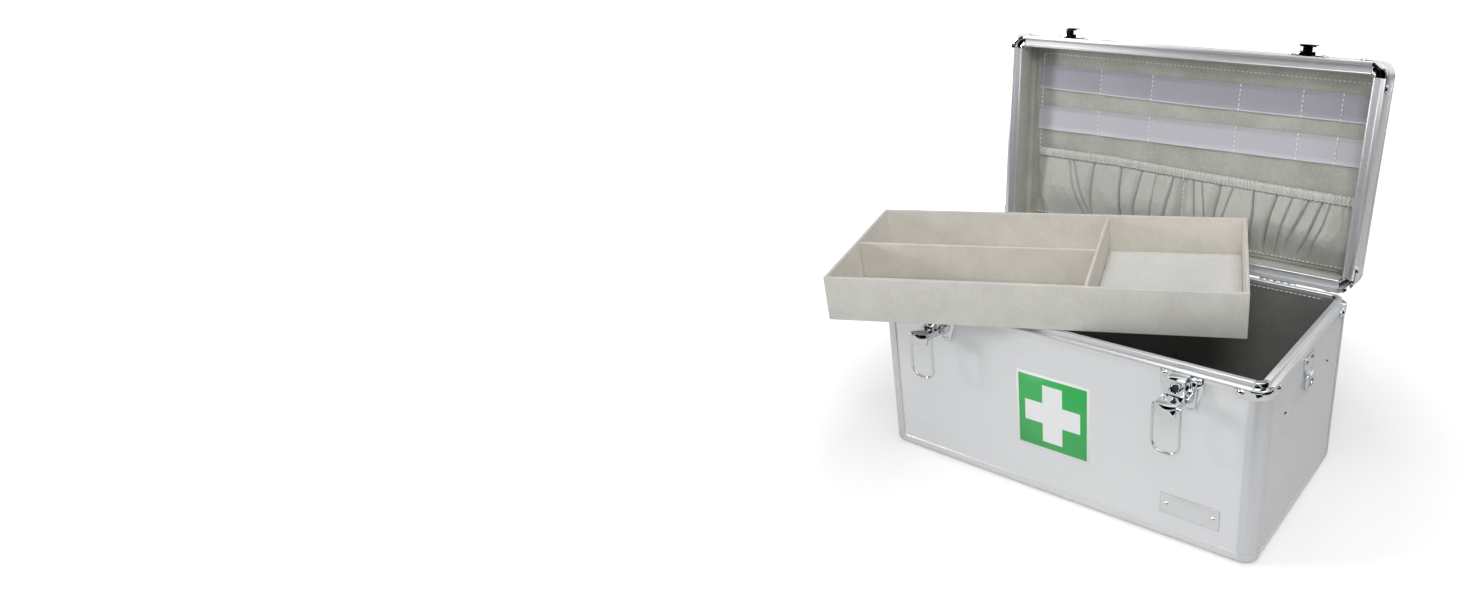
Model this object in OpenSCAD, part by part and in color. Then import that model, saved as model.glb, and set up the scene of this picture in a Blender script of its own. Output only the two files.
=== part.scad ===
// Aluminium first-aid case with two keyed toggle latches, a lined lid that stands
// open, and a felt-covered lift-out tray that lies askew on the open mouth.
// Origin: centre of the underside. +X to the right, -Y to the front, +Z up.
// Depths written as "in" are measured inward from the outer faces of the case.

/* [Case] */
// Width over the profiles
case_w = 400; // [370:1:430]
// Depth over the profiles
case_d = 214; // [204:1:230]
// Height of the closed case without its handle
case_h = 210; // [205:1:220]
// Height of the parting line
part_z = 170; // [165:1:174]
// Plan radius of the corners
corner_r = 14; // [12:0.5:16]
// Angle at which the lid stands open, in degrees
lid_open = 97.3; // [92:0.1:104]

/* [Walls] */
// Wall of the outer profiles
skin_t = 1; // [0.8:0.1:1.2]
// Thickness of the wall panels
panel_t = 4; // [3:0.5:4]
// Thickness of the inner leg behind the panels
leg_t = 1; // [0.8:0.1:1.2]
// Overlap of the corner posts past the corner radius
post_lap = 1.7; // [1.2:0.1:3]
// Pitch of the ribs on the end panels
rib_pitch = 3; // [2.5:0.1:5]
// Depth of the grooves between the ribs
rib_depth = 0.4; // [0.2:0.1:0.6]
// Thickness of the linings
lining_t = 2; // [1.5:0.1:2.1]

/* [Edge frames] */
// Height of the bottom and top edge profiles
edge_h = 10.5; // [9:0.5:14]
// Rounding of the bottom and top edges
edge_r = 6; // [5.5:0.1:7]
// Width of the flange under the floor and over the lid top
edge_lip = 20; // [18:1:26]
// Thickness of the floor and lid top panels
deck_t = 4; // [3:0.5:4]

/* [Rim] */
// Height of the outer flange below the parting line
rim_flange_h = 5; // [4:0.5:7]
// Height of the tongue above the parting line
tongue_h = 5; // [4:0.1:5.5]
// Wall of the rim profiles
rim_t = 1.2; // [1:0.1:1.4]
// Width of the tongue
tongue_w = 5.4; // [4.8:0.1:5.6]
// Length of the inner leg below the parting line
rim_leg_h = 12; // [10:0.5:16]
// Gap between the rims of body and lid when closed
rim_gap = 0.3; // [0.2:0.1:0.6]
// Height of the outer flange of the lid rim
lid_flange_h = 9.5; // [8:0.5:12]
// Height of the inner leg of the lid rim above the groove
lid_leg_h = 11; // [9:0.5:14]

/* [Corner pieces] */
// Thickness of the chromed tabs on the rim
tab_t = 0.8; // [0.5:0.1:1.2]
// Length of a tab past the corner radius
tab_len = 15; // [12:0.5:20]
// Width of a tab
tab_h = 8; // [6:0.5:9]
// Diameter of the rivets on the tabs
tab_rivet_d = 7; // [5:0.5:7.5]

/* [Hinges] */
// Length of each hinge
hinge_len = 36; // [30:1:50]
// Distance of the hinges from the ends of the case
hinge_inset = 72.5; // [60:0.5:100]
// Diameter of the knuckles
knuckle_d = 4.8; // [4.4:0.1:5]
// Diameter of the hinge pins
hinge_pin_d = 2.2; // [1.8:0.1:2.6]
// Height of each leaf
leaf_h = 22; // [18:1:26]
// Thickness of the leaves
leaf_t = 1.2; // [1:0.1:1.4]

/* [Latches] */
// Distance of the latches from the ends of the case
latch_inset = 73; // [60:0.5:100]
// Width of the base plates
plate_w = 38.5; // [36:0.5:46]
// Height of the base plates
plate_h = 32.5; // [28:0.5:38]
// Thickness of the base plates
plate_t = 1.2; // [1:0.1:1.4]
// Width of the lock boxes
box_w = 15.5; // [13:0.1:15.6]
// Height of the lock boxes
box_h = 16.6; // [15:0.1:17]
// How far the lock boxes stand off the rim
box_out = 13; // [12.5:0.1:15]
// Width of the levers
lever_w = 18.6; // [18:0.1:18.6]
// Lever length from its pin to the eyes of the bail
lever_a = 20.5; // [19:0.1:21]
// Lever angle above the horizontal when open, in degrees
lever_open = 4; // [0:1:8]
// Lever angle below the horizontal when shut, in degrees
lever_shut = 92; // [90:1:94]
// Wire diameter of the bails
bail_d = 2.5; // [2:0.1:2.5]
// Width of the bails between the wire centres
bail_w = 24.8; // [24.6:0.1:28]

/* [Strap rings] */
// Width of the strap plates
strap_w = 24; // [20:1:30]
// Height of the strap plates
strap_h = 20; // [18:1:26]
// Width of the D-rings between the wire centres
ring_w = 17; // [15:0.5:20]
// Wire diameter of the D-rings
ring_wire_d = 2.6; // [2:0.1:3]
// Height of the ring eyes above the ground
ring_z = 142; // [130:1:145]

/* [Handle] */
// Distance between the handle brackets
handle_span = 104; // [90:1:130]
// Diameter of the grip
grip_d = 12.6; // [11:0.1:12.8]
// Distance from the pivots to the grip
handle_reach = 34; // [30:1:45]

/* [Tray] */
// Length of the tray
tray_w = 378; // [350:1:379]
// Depth of the tray
tray_d = 176; // [160:1:189]
// Height of the tray
tray_h = 43; // [36:1:48]
// Thickness of the tray walls and dividers
tray_t = 3.2; // [2.4:0.1:4]
// Place of the cross divider, to the right of the middle of the tray
cross_x = 50; // [20:1:90]
// Turn of the tray on the mouth, in degrees
tray_yaw = 22.5; // [15:0.1:26]
// Place of the tray's middle to the left of the middle of the case
tray_left = 53.5; // [40:0.5:60]
// Place of the tray's middle in front of the middle of the case
tray_front = 29.7; // [26:0.1:42]

/* [Lid fittings] */
// Height of the clear loop strips
strip_h = 26; // [20:1:30]
// Distance of the pocket's lower seam from the wall of the lid lining
pocket_foot = 6; // [4:0.1:20]
// How far the pocket bulges from the lining
pocket_bulge = 9; // [6:0.5:12]
// Number of gathers across the pocket
gathers = 15; // [9:1:17]

/* [Hidden] */
$fn = 64;

// General clearances and overruns
eps = 0.01;        // overlap that joins touching shapes
cut = 1;           // overrun of a cut
soft_gap = 0.3;    // gap between soft pieces and their neighbours
bore_gap = 0.05;   // radial gap of a running fit
play = 0.45;       // gap between sliding sheet pieces

// Latches and hinges keep clear of the rim corners whatever the width
latch_x = case_w / 2 - latch_inset;
hinge_x = case_w / 2 - hinge_inset;

// Depths of the wall build-up, measured in from the outer faces
panel_in = skin_t;
leg_in = panel_in + panel_t;
lining_in = leg_in + leg_t + 0.2 * skin_t;
wall_in = lining_in + lining_t;
tongue_in = 4.2;
rim_in = tongue_in + tongue_w;
post_reach = corner_r + post_lap;
inner_w = case_w - 2 * rim_in;
inner_d = case_d - 2 * rim_in;

// Hinge line, just behind the rear rim at the parting line
hinge_out = knuckle_d / 2 + 0.1 * skin_t;
hinge_up = 1.2;
hinge_y = case_d / 2 + hinge_out;
hinge_z = part_z + hinge_up;
function lid_y(y, z) = hinge_y + cos(lid_open) * (y - hinge_y) + sin(lid_open) * (z - hinge_z);
function lid_z(y, z) = hinge_z - sin(lid_open) * (y - hinge_y) + cos(lid_open) * (z - hinge_z);

// Runs a 2D section (across = in, up = z) along the front or the left side
module front_run(len) translate([0, -case_d / 2, 0]) rotate([90, 0, 90])
    linear_extrude(len, center = true) children();
module left_run(len) translate([-case_w / 2, 0, 0]) rotate([90, 0, 0])
    linear_extrude(len, center = true) children();
module both_x() for (m = [0, 1]) mirror([m, 0, 0]) children();
module both_y() for (m = [0, 1]) mirror([0, m, 0]) children();
// Turns a 2D section round each of the four corners
module four_corners(r) both_x() both_y() translate([case_w / 2 - r, case_d / 2 - r, 0])
    children();
module turned(r) rotate_extrude(angle = 90) intersection() {
    translate([r, 0]) mirror([1, 0]) children();
    square([2 * r, 4 * case_h]);
}
// Plan of the case at a depth, with the corners rounded alike
module inset_plan(depth) difference() {
    square([case_w - 2 * depth, case_d - 2 * depth], center = true);
    four_corners(corner_r) difference() {
        square(corner_r);
        circle(r = corner_r - depth);
    }
}
// Puts what is modelled on the closed case onto the open lid
module on_lid() translate([0, hinge_y, hinge_z]) rotate([-lid_open, 0, 0])
    translate([0, -hinge_y, -hinge_z]) children();
// Domed rivet head with its shank, standing on z = 0
module rivet(d, h, shank_d, shank_l) {
    dome_r = (pow(d / 2, 2) + pow(h, 2)) / (2 * h);
    intersection() {
        translate([0, 0, h - dome_r]) sphere(dome_r);
        cylinder(d = d, h = h);
    }
    translate([0, 0, -shank_l]) cylinder(d = shank_d, h = shank_l + eps);
}
module to_front(x, z, out = 0) translate([x, -case_d / 2 - out, z]) rotate([90, 0, 0]) children();
module to_right(y, z, out = 0) translate([case_w / 2 + out, y, z]) rotate([90, 0, 90]) children();

// Wall panels
edge_frame_web = edge_r;
panel_low = edge_frame_web + skin_t;
rim_web_z = part_z - rim_t - 0.2 * skin_t;
panel_end = corner_r + 0.2 * skin_t;
module front_panel() color("gainsboro")
    translate([0, 0, panel_low]) front_run(case_w - 2 * panel_end)
        translate([panel_in, 0]) square([panel_t, rim_web_z - panel_low]);
module rear_panel() mirror([0, 1, 0]) front_panel();

// End panels with a fine pattern of horizontal grooves
rib_low = edge_h + rib_pitch;
rib_high = part_z - rim_flange_h - rib_pitch;
rib_count = floor((rib_high - rib_low) / rib_pitch);
groove_w = 0.3 * rib_pitch;
module ribbed_section() difference() {
    translate([panel_in, panel_low]) square([panel_t, rim_web_z - panel_low]);
    for (i = [0 : rib_count]) translate([panel_in, rib_low + i * rib_pitch])
        polygon([[-eps, -groove_w / 2], [rib_depth, -groove_w / 4],
            [rib_depth, groove_w / 4], [-eps, groove_w / 2]]);
}
module end_panels() color("lightgray") both_x() left_run(case_d - 2 * panel_end) ribbed_section();

deck_in = leg_in + leg_t + 0.1 * skin_t;
module floor_panel() color("silver") translate([0, 0, skin_t]) linear_extrude(deck_t) inset_plan(deck_in);

// Corner posts: outer quarter shell, laps over the panels, inner legs and a web
module post_plan() {
    // drawn in the corner where both "in" depths are zero
    intersection() {
        translate([corner_r, corner_r]) difference() {
            circle(r = corner_r);
            circle(r = corner_r - skin_t);
        }
        square(corner_r);
    }
    for (s = [0, 1]) mirror([s, -s]) {
        translate([corner_r - eps, 0]) square([post_lap + eps, skin_t]);
        translate([leg_in, leg_in]) square([post_reach - leg_in, leg_t]);
    }
    web_from = corner_r - (corner_r - skin_t / 2) / sqrt(2);
    rotate(45) translate([web_from * sqrt(2), -skin_t / 2])
        square([(leg_in + leg_t / 2 - web_from) * sqrt(2), skin_t]);
}
module post(low, high) translate([-case_w / 2, -case_d / 2, low]) linear_extrude(high - low) post_plan();
post_low = edge_h + 0.1 * skin_t;
post_high = part_z - rim_flange_h - 0.1 * skin_t;
module corner_posts() color("silver") both_x() both_y() post(post_low, post_high);

// Bottom edge frame, also used upside down round the top of the lid
module edge_section() {
    intersection() {
        translate([edge_r, edge_r]) difference() {
            circle(r = edge_r);
            circle(r = edge_r - skin_t);
        }
        square(edge_r);
    }
    translate([0, edge_r - eps]) square([skin_t, edge_h - edge_r + eps]);
    translate([edge_r - eps, 0]) square([corner_r - edge_r + eps, skin_t]);
    translate([skin_t / 2, edge_frame_web]) square([leg_in + leg_t - skin_t / 2, skin_t]);
    translate([leg_in, skin_t / 2]) square([leg_t, edge_h - skin_t / 2]);
}
module edge_runs() {
    both_y() front_run(case_w - 2 * corner_r) edge_section();
    both_x() left_run(case_d - 2 * corner_r) edge_section();
    linear_extrude(skin_t) difference() {
        union() {
            square([case_w - 2 * corner_r, case_d - 2 * edge_r], center = true);
            square([case_w - 2 * edge_r, case_d - 2 * corner_r], center = true);
        }
        square([case_w - 2 * edge_lip, case_d - 2 * edge_lip], center = true);
    }
}
module edge_corner_caps() four_corners(corner_r) turned(corner_r) intersection() {
    edge_section();
    square([corner_r - eps, edge_h]);
}
module base_frame() color("silver") edge_runs();
module base_corners() color("gainsboro") edge_corner_caps();

// Body rim: outer flange, ledge, hollow tongue and inner leg
module body_rim_section() translate([0, part_z]) difference() {
    union() {
        translate([0, -rim_flange_h]) square([tongue_in + rim_t, rim_flange_h]);
        polygon([[tongue_in, -rim_leg_h], [rim_in, -rim_leg_h], [rim_in, tongue_h - rim_t / 3],
            [rim_in - rim_t / 3, tongue_h], [tongue_in + rim_t / 3, tongue_h],
            [tongue_in, tongue_h - rim_t / 3]]);
    }
    translate([panel_in, -rim_leg_h - cut])
        square([tongue_in + rim_t - panel_in, rim_leg_h + cut - rim_t]);
    translate([tongue_in - eps, -rim_leg_h - cut])
        square([tongue_w - rim_t + eps, rim_leg_h + cut - rim_t]);
    translate([tongue_in + rim_t, -rim_leg_h - cut])
        square([tongue_w - 2 * rim_t, rim_leg_h + cut + tongue_h - rim_t]);
}
module rim_runs() {
    both_y() front_run(case_w - 2 * corner_r) children();
    both_x() left_run(case_d - 2 * corner_r) children();
}
module body_rim() color("gainsboro") rim_runs() body_rim_section();

// Pressed corner pieces with a tab along each side
tab_hole_d = tab_rivet_d / 2;
tab_rivet_at = corner_r + 0.57 * tab_len;
module rim_tab(z) difference() {
    translate([-eps, 0, z]) linear_extrude(tab_t) {
        square([tab_len - tab_h / 2 + eps, tab_h]);
        translate([tab_len - tab_h / 2 + eps, tab_h / 2]) circle(d = tab_h);
    }
    translate([tab_rivet_at - corner_r, tab_h / 2, z - cut]) cylinder(d = tab_hole_d, h = tab_t + 2 * cut);
}
// front-left corner: the tabs run from the corner radius over the flange
module tab_pair(low) {
    translate([-case_w / 2 + corner_r, -case_d / 2, low]) rotate([90, 0, 0]) rim_tab(0);
    translate([-case_w / 2, -case_d / 2 + corner_r, low]) rotate([90, 0, 90])
        mirror([0, 0, 1]) rim_tab(0);
}
module corner_section(low) {
    children();
    translate([-tab_t, low]) square([tab_t, tab_h]);
    join_low = max(low, part_z - rim_flange_h);
    translate([-tab_t, join_low]) square([tab_t + eps, low + tab_h - join_low]);
}
body_tab_low = part_z - tab_h - 0.4 * skin_t;
lid_tab_low = part_z + rim_gap + 0.4 * skin_t;
module body_rim_corners() color("whitesmoke") {
    four_corners(corner_r) turned(corner_r) corner_section(body_tab_low) body_rim_section();
    both_x() both_y() tab_pair(body_tab_low);
}
module tab_rivets(low) both_x() both_y() {
    translate([-case_w / 2 + tab_rivet_at, -case_d / 2 - tab_t, low + tab_h / 2])
        rotate([90, 0, 0]) rivet(tab_rivet_d, tab_rivet_d / 4, tab_hole_d - 2 * bore_gap, tab_t);
    translate([-case_w / 2 - tab_t, -case_d / 2 + tab_rivet_at, low + tab_h / 2])
        rotate([0, -90, 0]) rivet(tab_rivet_d, tab_rivet_d / 4, tab_hole_d - 2 * bore_gap, tab_t);
}
module body_rim_rivets() color("whitesmoke") tab_rivets(body_tab_low);

// Fabric lining of the body, one open box
lining_low = skin_t + deck_t + soft_gap;
lining_high = part_z - rim_t - soft_gap;
module body_lining() color("dimgray") difference() {
    translate([0, 0, lining_low]) linear_extrude(lining_high - lining_low) inset_plan(lining_in);
    translate([0, 0, lining_low + lining_t]) linear_extrude(case_h) inset_plan(wall_in);
}

// Covered ledges on the end walls, on which the tray stands when the case is packed
ledge_top = part_z + tongue_h - tray_h - 2 * soft_gap;
ledge_w = 9;
ledge_h = 8;
ledge_len = inner_d - 40 * skin_t;
module tray_ledges() color("dimgray") both_x()
    translate([-case_w / 2 + wall_in + soft_gap, -ledge_len / 2, ledge_top - ledge_h])
        cube([ledge_w, ledge_len, ledge_h]);

// Rivets that hold the ledges through the end panels
end_rivet_d = 6.8;
end_rivet_y = 0.36 * ledge_len;
module end_rivets() color("silver") both_x() both_y()
    translate([-case_w / 2 + panel_in, end_rivet_y, ledge_top - ledge_h / 2])
        rotate([0, -90, 0]) rivet(end_rivet_d, end_rivet_d / 5, end_rivet_d / 2, 0);

// Latch base plates: pressed plate with a back-turned rim and two pin lugs
plate_top = part_z;
plate_low = plate_top - plate_h;
plate_waist_z = plate_top - 0.45 * plate_h;
plate_foot_w = 0.72 * plate_w;
latch_rivet_x = 0.4 * plate_w;
latch_rivet_z = plate_top - 0.13 * plate_h;
latch_rivet_d = 5.2;
box_low = part_z - 0.4 * skin_t - box_h;
pin_z = box_low - 3 * skin_t;
pin_out = 7.5;
lever_pin_d = 2.5;
lug_t = 1.2;
lug_x = lever_w / 2 + 0.3 * skin_t;
lug_r = 3.4;
module plate_outline(shrink = 0) polygon([
    [-plate_w / 2 + shrink, plate_top - plate_low - shrink], [plate_w / 2 - shrink, plate_top - plate_low - shrink],
    [plate_w / 2 - shrink, plate_waist_z - plate_low], [plate_foot_w / 2 + plate_t - shrink, 0.24 * plate_h],
    [plate_foot_w / 2 - shrink, shrink], [-plate_foot_w / 2 + shrink, shrink],
    [-plate_foot_w / 2 - plate_t + shrink, 0.24 * plate_h], [-plate_w / 2 + shrink, plate_waist_z - plate_low]]);
module latch_plate() difference() {
    union() {
        to_front(0, plate_low) linear_extrude(plate_t) plate_outline();
        // back-turned rim that reaches the panel below the flange
        intersection() {
            to_front(0, plate_low, -panel_in) linear_extrude(panel_in + eps) difference() {
                plate_outline();
                plate_outline(plate_t);
            }
            translate([-plate_w, -case_d, 0]) cube([2 * plate_w, 2 * case_d, part_z - rim_flange_h - tab_t]);
        }
        for (s = [-1, 1]) hull() {
            to_front(s * (lug_x + lug_t / 2), pin_z, pin_out) rotate([0, 90, 0])
                cylinder(r = lug_r, h = lug_t, center = true, $fn = 32);
            to_front(s * (lug_x + lug_t / 2), pin_z, plate_t / 2)
                cube([lug_t, 2 * lug_r * 1.3, plate_t], center = true);
        }
    }
    for (s = [-1, 1]) to_front(s * latch_rivet_x, latch_rivet_z, -cut)
        cylinder(d = latch_rivet_d / 2, h = plate_t + 2 * cut);
    to_front(0, pin_z, pin_out) rotate([0, 90, 0])
        cylinder(d = lever_pin_d, h = 2 * plate_w, center = true);
}
module both_latches() for (s = [-1, 1]) translate([s * latch_x, 0, 0]) children();
module latch_plates() color("whitesmoke") both_latches() latch_plate();
module latch_rivets() color("whitesmoke") both_latches() for (s = [-1, 1])
    to_front(s * latch_rivet_x, latch_rivet_z, plate_t)
        rivet(latch_rivet_d, latch_rivet_d / 4, latch_rivet_d / 2 - 2 * bore_gap, plate_t);
module lever_pins() color("silver") both_latches() to_front(0, pin_z, pin_out) rotate([0, 90, 0])
    cylinder(d = lever_pin_d, h = 2 * (lug_x + lug_t) + soft_gap, center = true);

// Lock boxes: folded sheet hood with a keyhole, open at the bottom
box_t = 1.1;
key_d = 6.4;
key_slot_w = 2.6;
key_z = box_low + 0.5 * box_h;
module lock_box() {
    profile_share = 0.7; // height share at which the hood starts to slope back
    difference() {
        translate([-box_w / 2, 0, 0]) rotate([90, 0, 90]) linear_extrude(box_w)
            translate([-case_d / 2, 0]) polygon([[-plate_t, box_low], [-box_out, box_low],
                [-box_out, box_low + 0.93 * box_h], [-box_out * profile_share, box_low + box_h],
                [-plate_t, box_low + box_h]]);
        translate([-box_w / 2 + box_t, -case_d / 2 - box_out + box_t, box_low - cut])
            cube([box_w - 2 * box_t, box_out - box_t, 0.93 * box_h - box_t + cut]);
        to_front(0, key_z, box_out - 2 * box_t) cylinder(d = key_d, h = box_out);
        to_front(-key_slot_w / 2, key_z - 0.8 * key_d, box_out - 2 * box_t)
            cube([key_slot_w, 0.8 * key_d, box_out]);
    }
}
module lock_boxes() color("gainsboro") both_latches() lock_box();
module key_posts() color("gray") both_latches() to_front(0, key_z, plate_t)
    cylinder(d = 2 * box_t, h = box_out - plate_t - 4 * box_t);

// Lock bolts: drop behind the nose of the shut lever
bolt_w = box_w - 4 * box_t;
bolt_t = 3.2;
bolt_out = plate_t + 0.8 * skin_t;
bolt_throw = 2;
nose_r = 4.2;
barrel_r = 2.6;
bolt_rest = pin_z + nose_r + bolt_throw / 2;
bolt_h = 8.4;
module bolt() color("gray") difference() {
    translate([-bolt_w / 2, -case_d / 2 - bolt_out - bolt_t, bolt_rest]) cube([bolt_w, bolt_t, bolt_h]);
    translate([-2 * box_t, -case_d / 2 - bolt_out - bolt_t - cut, key_z - bolt_throw - 2 * box_t])
        cube([4 * box_t, bolt_t + 2 * cut, box_h]);
}
module bolt_left() translate([-latch_x, 0, 0]) bolt();
module bolt_right() translate([latch_x, 0, 0]) bolt();

// Levers: pressed pans with rounded noses, drawn open; +Y of the plan is outward
lever_t = 1.1;
lever_deck = barrel_r + lever_t;
lever_nose = 6.6;
lever_tip_r = 15;
lever_end = lever_a + 6.5;
lever_from = box_out - pin_out + play;
eye_r = 2.5;
eye_w = 1.1;
boss_share = 0.92; // radius of the barrel and the eye bosses against the ends of the ears
module lever_plan(shrink = 0) intersection() {
    translate([-lever_w / 2 + shrink, -2 * barrel_r]) square([lever_w - 2 * shrink, lever_end + 2 * barrel_r]);
    translate([0, lever_end - shrink - lever_tip_r]) circle(r = lever_tip_r);
}
module lever_sides(shrink = 0) translate([-lever_w / 2 + shrink, 0])
    square([lever_w - 2 * shrink, lever_a]);
module lever_ear() rotate([90, 0, 90]) linear_extrude(lever_t) hull() {
    circle(r = barrel_r);
    translate([lever_a, 0]) circle(r = eye_r);
    translate([lever_from, lever_deck - lever_t]) square([lever_a - lever_from, lever_t]);
}
module lever() difference() {
    union() {
        // deck and skirt of the pan
        translate([0, 0, -lever_nose]) linear_extrude(lever_nose + lever_deck) difference() {
            lever_plan();
            lever_plan(lever_t);
            translate([-lever_w, -lever_w]) square([2 * lever_w, lever_w + lever_a]);
        }
        translate([0, 0, lever_deck - lever_t]) linear_extrude(lever_t) difference() {
            union() {
                lever_plan();
                lever_sides();
            }
            translate([-lever_w, -lever_w]) square([2 * lever_w, lever_w + lever_from]);
        }
        for (s = [0, 1]) mirror([s, 0, 0]) {
            translate([lever_w / 2 - lever_t, 0, 0]) lever_ear();
            translate([lever_w / 2 - lever_t / 2, lever_a, 0]) rotate([0, 90, 0])
                cylinder(r = eye_r * boss_share, h = eye_w + lever_t / 2);
        }
        rotate([0, 90, 0]) cylinder(r = barrel_r * boss_share, h = lever_w - lever_t, center = true);
        // locking nose, which the bolt drops behind
        rotate([lever_open + lever_shut, 0, 0]) translate([-bolt_w / 3, -box_t, 0])
            cube([2 * bolt_w / 3, 2 * box_t, nose_r]);
    }
    rotate([0, 90, 0]) cylinder(d = lever_pin_d + 2 * bore_gap, h = 2 * lever_w, center = true);
    translate([0, lever_a, 0]) rotate([0, 90, 0])
        cylinder(d = bail_d + 2 * bore_gap, h = 2 * lever_w, center = true);
}
module lever_at() translate([0, -case_d / 2 - pin_out, pin_z]) mirror([0, 1, 0])
    rotate([lever_open, 0, 0]) children();
module lever_left() color("whitesmoke") translate([-latch_x, 0, 0]) lever_at() lever();
module lever_right() color("whitesmoke") translate([latch_x, 0, 0]) lever_at() lever();

// Wire bails: hang from the lever eyes, reach over the lid catches when latched
hook_web_z = part_z + 0.2 * skin_t;
hook_t = 1.15;
bail_seat_z = hook_web_z + hook_t + soft_gap + bail_d / 2;
shut_eye_z = pin_z - lever_a * sin(lever_shut);
bail_len = bail_seat_z - shut_eye_z;
bail_r = 10;
eye_out = pin_out + lever_a * cos(lever_open);
eye_z = pin_z + lever_a * sin(lever_open);
bail_inner = lever_w / 2 - lever_t;
module bail() translate([0, -case_d / 2 - eye_out, eye_z]) {
    for (s = [0, 1]) mirror([s, 0, 0]) {
        translate([bail_inner, 0, 0]) rotate([0, 90, 0])
            cylinder(d = bail_d, h = bail_w / 2 - bail_inner);
        translate([bail_w / 2, 0, 0]) sphere(d = bail_d);
        translate([bail_w / 2, 0, -bail_len + bail_r]) cylinder(d = bail_d, h = bail_len - bail_r);
        translate([bail_w / 2 - bail_r, 0, -bail_len + bail_r]) rotate([90, 0, 0]) rotate([0, 0, -90])
            rotate_extrude(angle = 90) translate([bail_r, 0]) circle(d = bail_d);
    }
    translate([0, 0, -bail_len]) rotate([0, 90, 0])
        cylinder(d = bail_d, h = bail_w - 2 * bail_r, center = true);
}
module bail_left() color("silver") translate([-latch_x, 0, 0]) bail();
module bail_right() color("silver") translate([latch_x, 0, 0]) bail();

// Strap plates with a curled eye, and their D-rings
strap_y = -6;
strap_t = 1.5;
ring_out = 1.2 * strap_t;
ring_eye_r = 2.7;
ring_eye_w = 9;
strap_rivet_d = 4.6;
strap_low = ring_z;
strap_rivet_x = 0.3 * strap_w;
strap_rivet_z = strap_low + 0.74 * strap_h;
module strap_plate() difference() {
    union() {
        to_right(strap_y, strap_low, -panel_in) linear_extrude(strap_t) hull() {
            for (s = [-1, 1]) translate([s * (strap_w / 2 - ring_eye_r), strap_h - ring_eye_r]) circle(r = ring_eye_r, $fn = 32);
            translate([-ring_eye_w / 2, 0]) square([ring_eye_w, eps]);
            translate([-strap_w / 2, strap_h / 2]) square([strap_w, eps]);
        }
        to_right(strap_y, ring_z, ring_out) rotate([0, 90, 0])
            cylinder(r = ring_eye_r, h = ring_eye_w, center = true);
    }
    to_right(strap_y, ring_z, ring_out) rotate([0, 90, 0])
        cylinder(d = ring_wire_d + 2 * bore_gap, h = 2 * strap_w, center = true);
    for (s = [-1, 1]) to_right(strap_y + s * strap_rivet_x, strap_rivet_z, -panel_in - cut)
        cylinder(d = strap_rivet_d / 2, h = strap_t + 2 * cut);
}
module strap_plates() color("whitesmoke") both_x() strap_plate();
module strap_rivets() color("silver") both_x() for (s = [-1, 1])
    to_right(strap_y + s * strap_rivet_x, strap_rivet_z, strap_t - panel_in)
        rivet(strap_rivet_d, strap_rivet_d / 4, strap_rivet_d / 2 - 2 * bore_gap, strap_t);
module d_ring() to_right(strap_y, ring_z, ring_out) {
    rotate([0, 90, 0]) cylinder(d = ring_wire_d, h = ring_w, center = true);
    for (s = [-1, 1]) translate([s * ring_w / 2, 0, 0]) {
        sphere(d = ring_wire_d);
        translate([0, -ring_w / 3, 0]) rotate([-90, 0, 0]) cylinder(d = ring_wire_d, h = ring_w / 3);
    }
    translate([0, -ring_w / 3, 0]) rotate([0, 0, 180]) rotate_extrude(angle = 180)
        translate([ring_w / 2, 0]) circle(d = ring_wire_d);
}
module ring_right() color("silver") d_ring();
module ring_left() color("silver") mirror([1, 0, 0]) d_ring();

// Hinges: leaves on the rear rims, knuckles in five turns, one pin each
knuckles = 5;
knuckle_gap = 0.3;
knuckle_w = hinge_len / knuckles;
leaf_off = hinge_up + knuckle_d / 2 + soft_gap;
leaf_rivet_d = 4.4;
module knuckle_row(first) for (i = [first : 2 : knuckles - 1])
    translate([-hinge_len / 2 + i * knuckle_w + knuckle_gap / 2, 0, 0]) children();
module leaf(first, up) difference() {
    union() {
        translate([-hinge_len / 2, case_d / 2, up ? hinge_z + leaf_off : hinge_z - leaf_off - leaf_h])
            cube([hinge_len, leaf_t, leaf_h]);
        knuckle_row(first) {
            translate([0, hinge_y, hinge_z]) rotate([0, 90, 0])
                cylinder(d = knuckle_d, h = knuckle_w - knuckle_gap);
            translate([0, hinge_y - knuckle_d / 2, up ? hinge_z : hinge_z - leaf_off - eps])
                cube([knuckle_w - knuckle_gap, leaf_t, leaf_off + eps]);
        }
    }
    translate([0, hinge_y, hinge_z]) rotate([0, 90, 0])
        cylinder(d = hinge_pin_d + 2 * bore_gap, h = 2 * hinge_len, center = true);
    leaf_holes(up) cylinder(d = leaf_rivet_d / 2, h = 2 * cut + leaf_t, center = true);
}
module leaf_holes(up) for (s = [-1, 1], k = [0.3, 0.7])
    translate([s * 0.3 * hinge_len, case_d / 2 + leaf_t / 2, hinge_z + (up ? 1 : -1) * (leaf_off + k * leaf_h)])
        rotate([-90, 0, 0]) children();
module both_hinges() for (s = [-1, 1]) translate([s * hinge_x, 0, 0]) children();
module leaf_rivets(up) leaf_holes(up) translate([0, 0, leaf_t / 2])
    rivet(leaf_rivet_d, leaf_rivet_d / 5, leaf_rivet_d / 2 - 2 * bore_gap, leaf_t);
module hinge_body_leaves() color("silver") both_hinges() leaf(0, false);
module hinge_pins() color("gray") both_hinges() translate([0, hinge_y, hinge_z]) rotate([0, 90, 0])
    cylinder(d = hinge_pin_d, h = hinge_len, center = true);
module hinge_body_rivets() color("silver") both_hinges() leaf_rivets(false);
module hinge_lid_leaves() color("silver") on_lid() both_hinges() leaf(1, true);
module hinge_lid_rivets() color("silver") on_lid() both_hinges() leaf_rivets(true);

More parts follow.
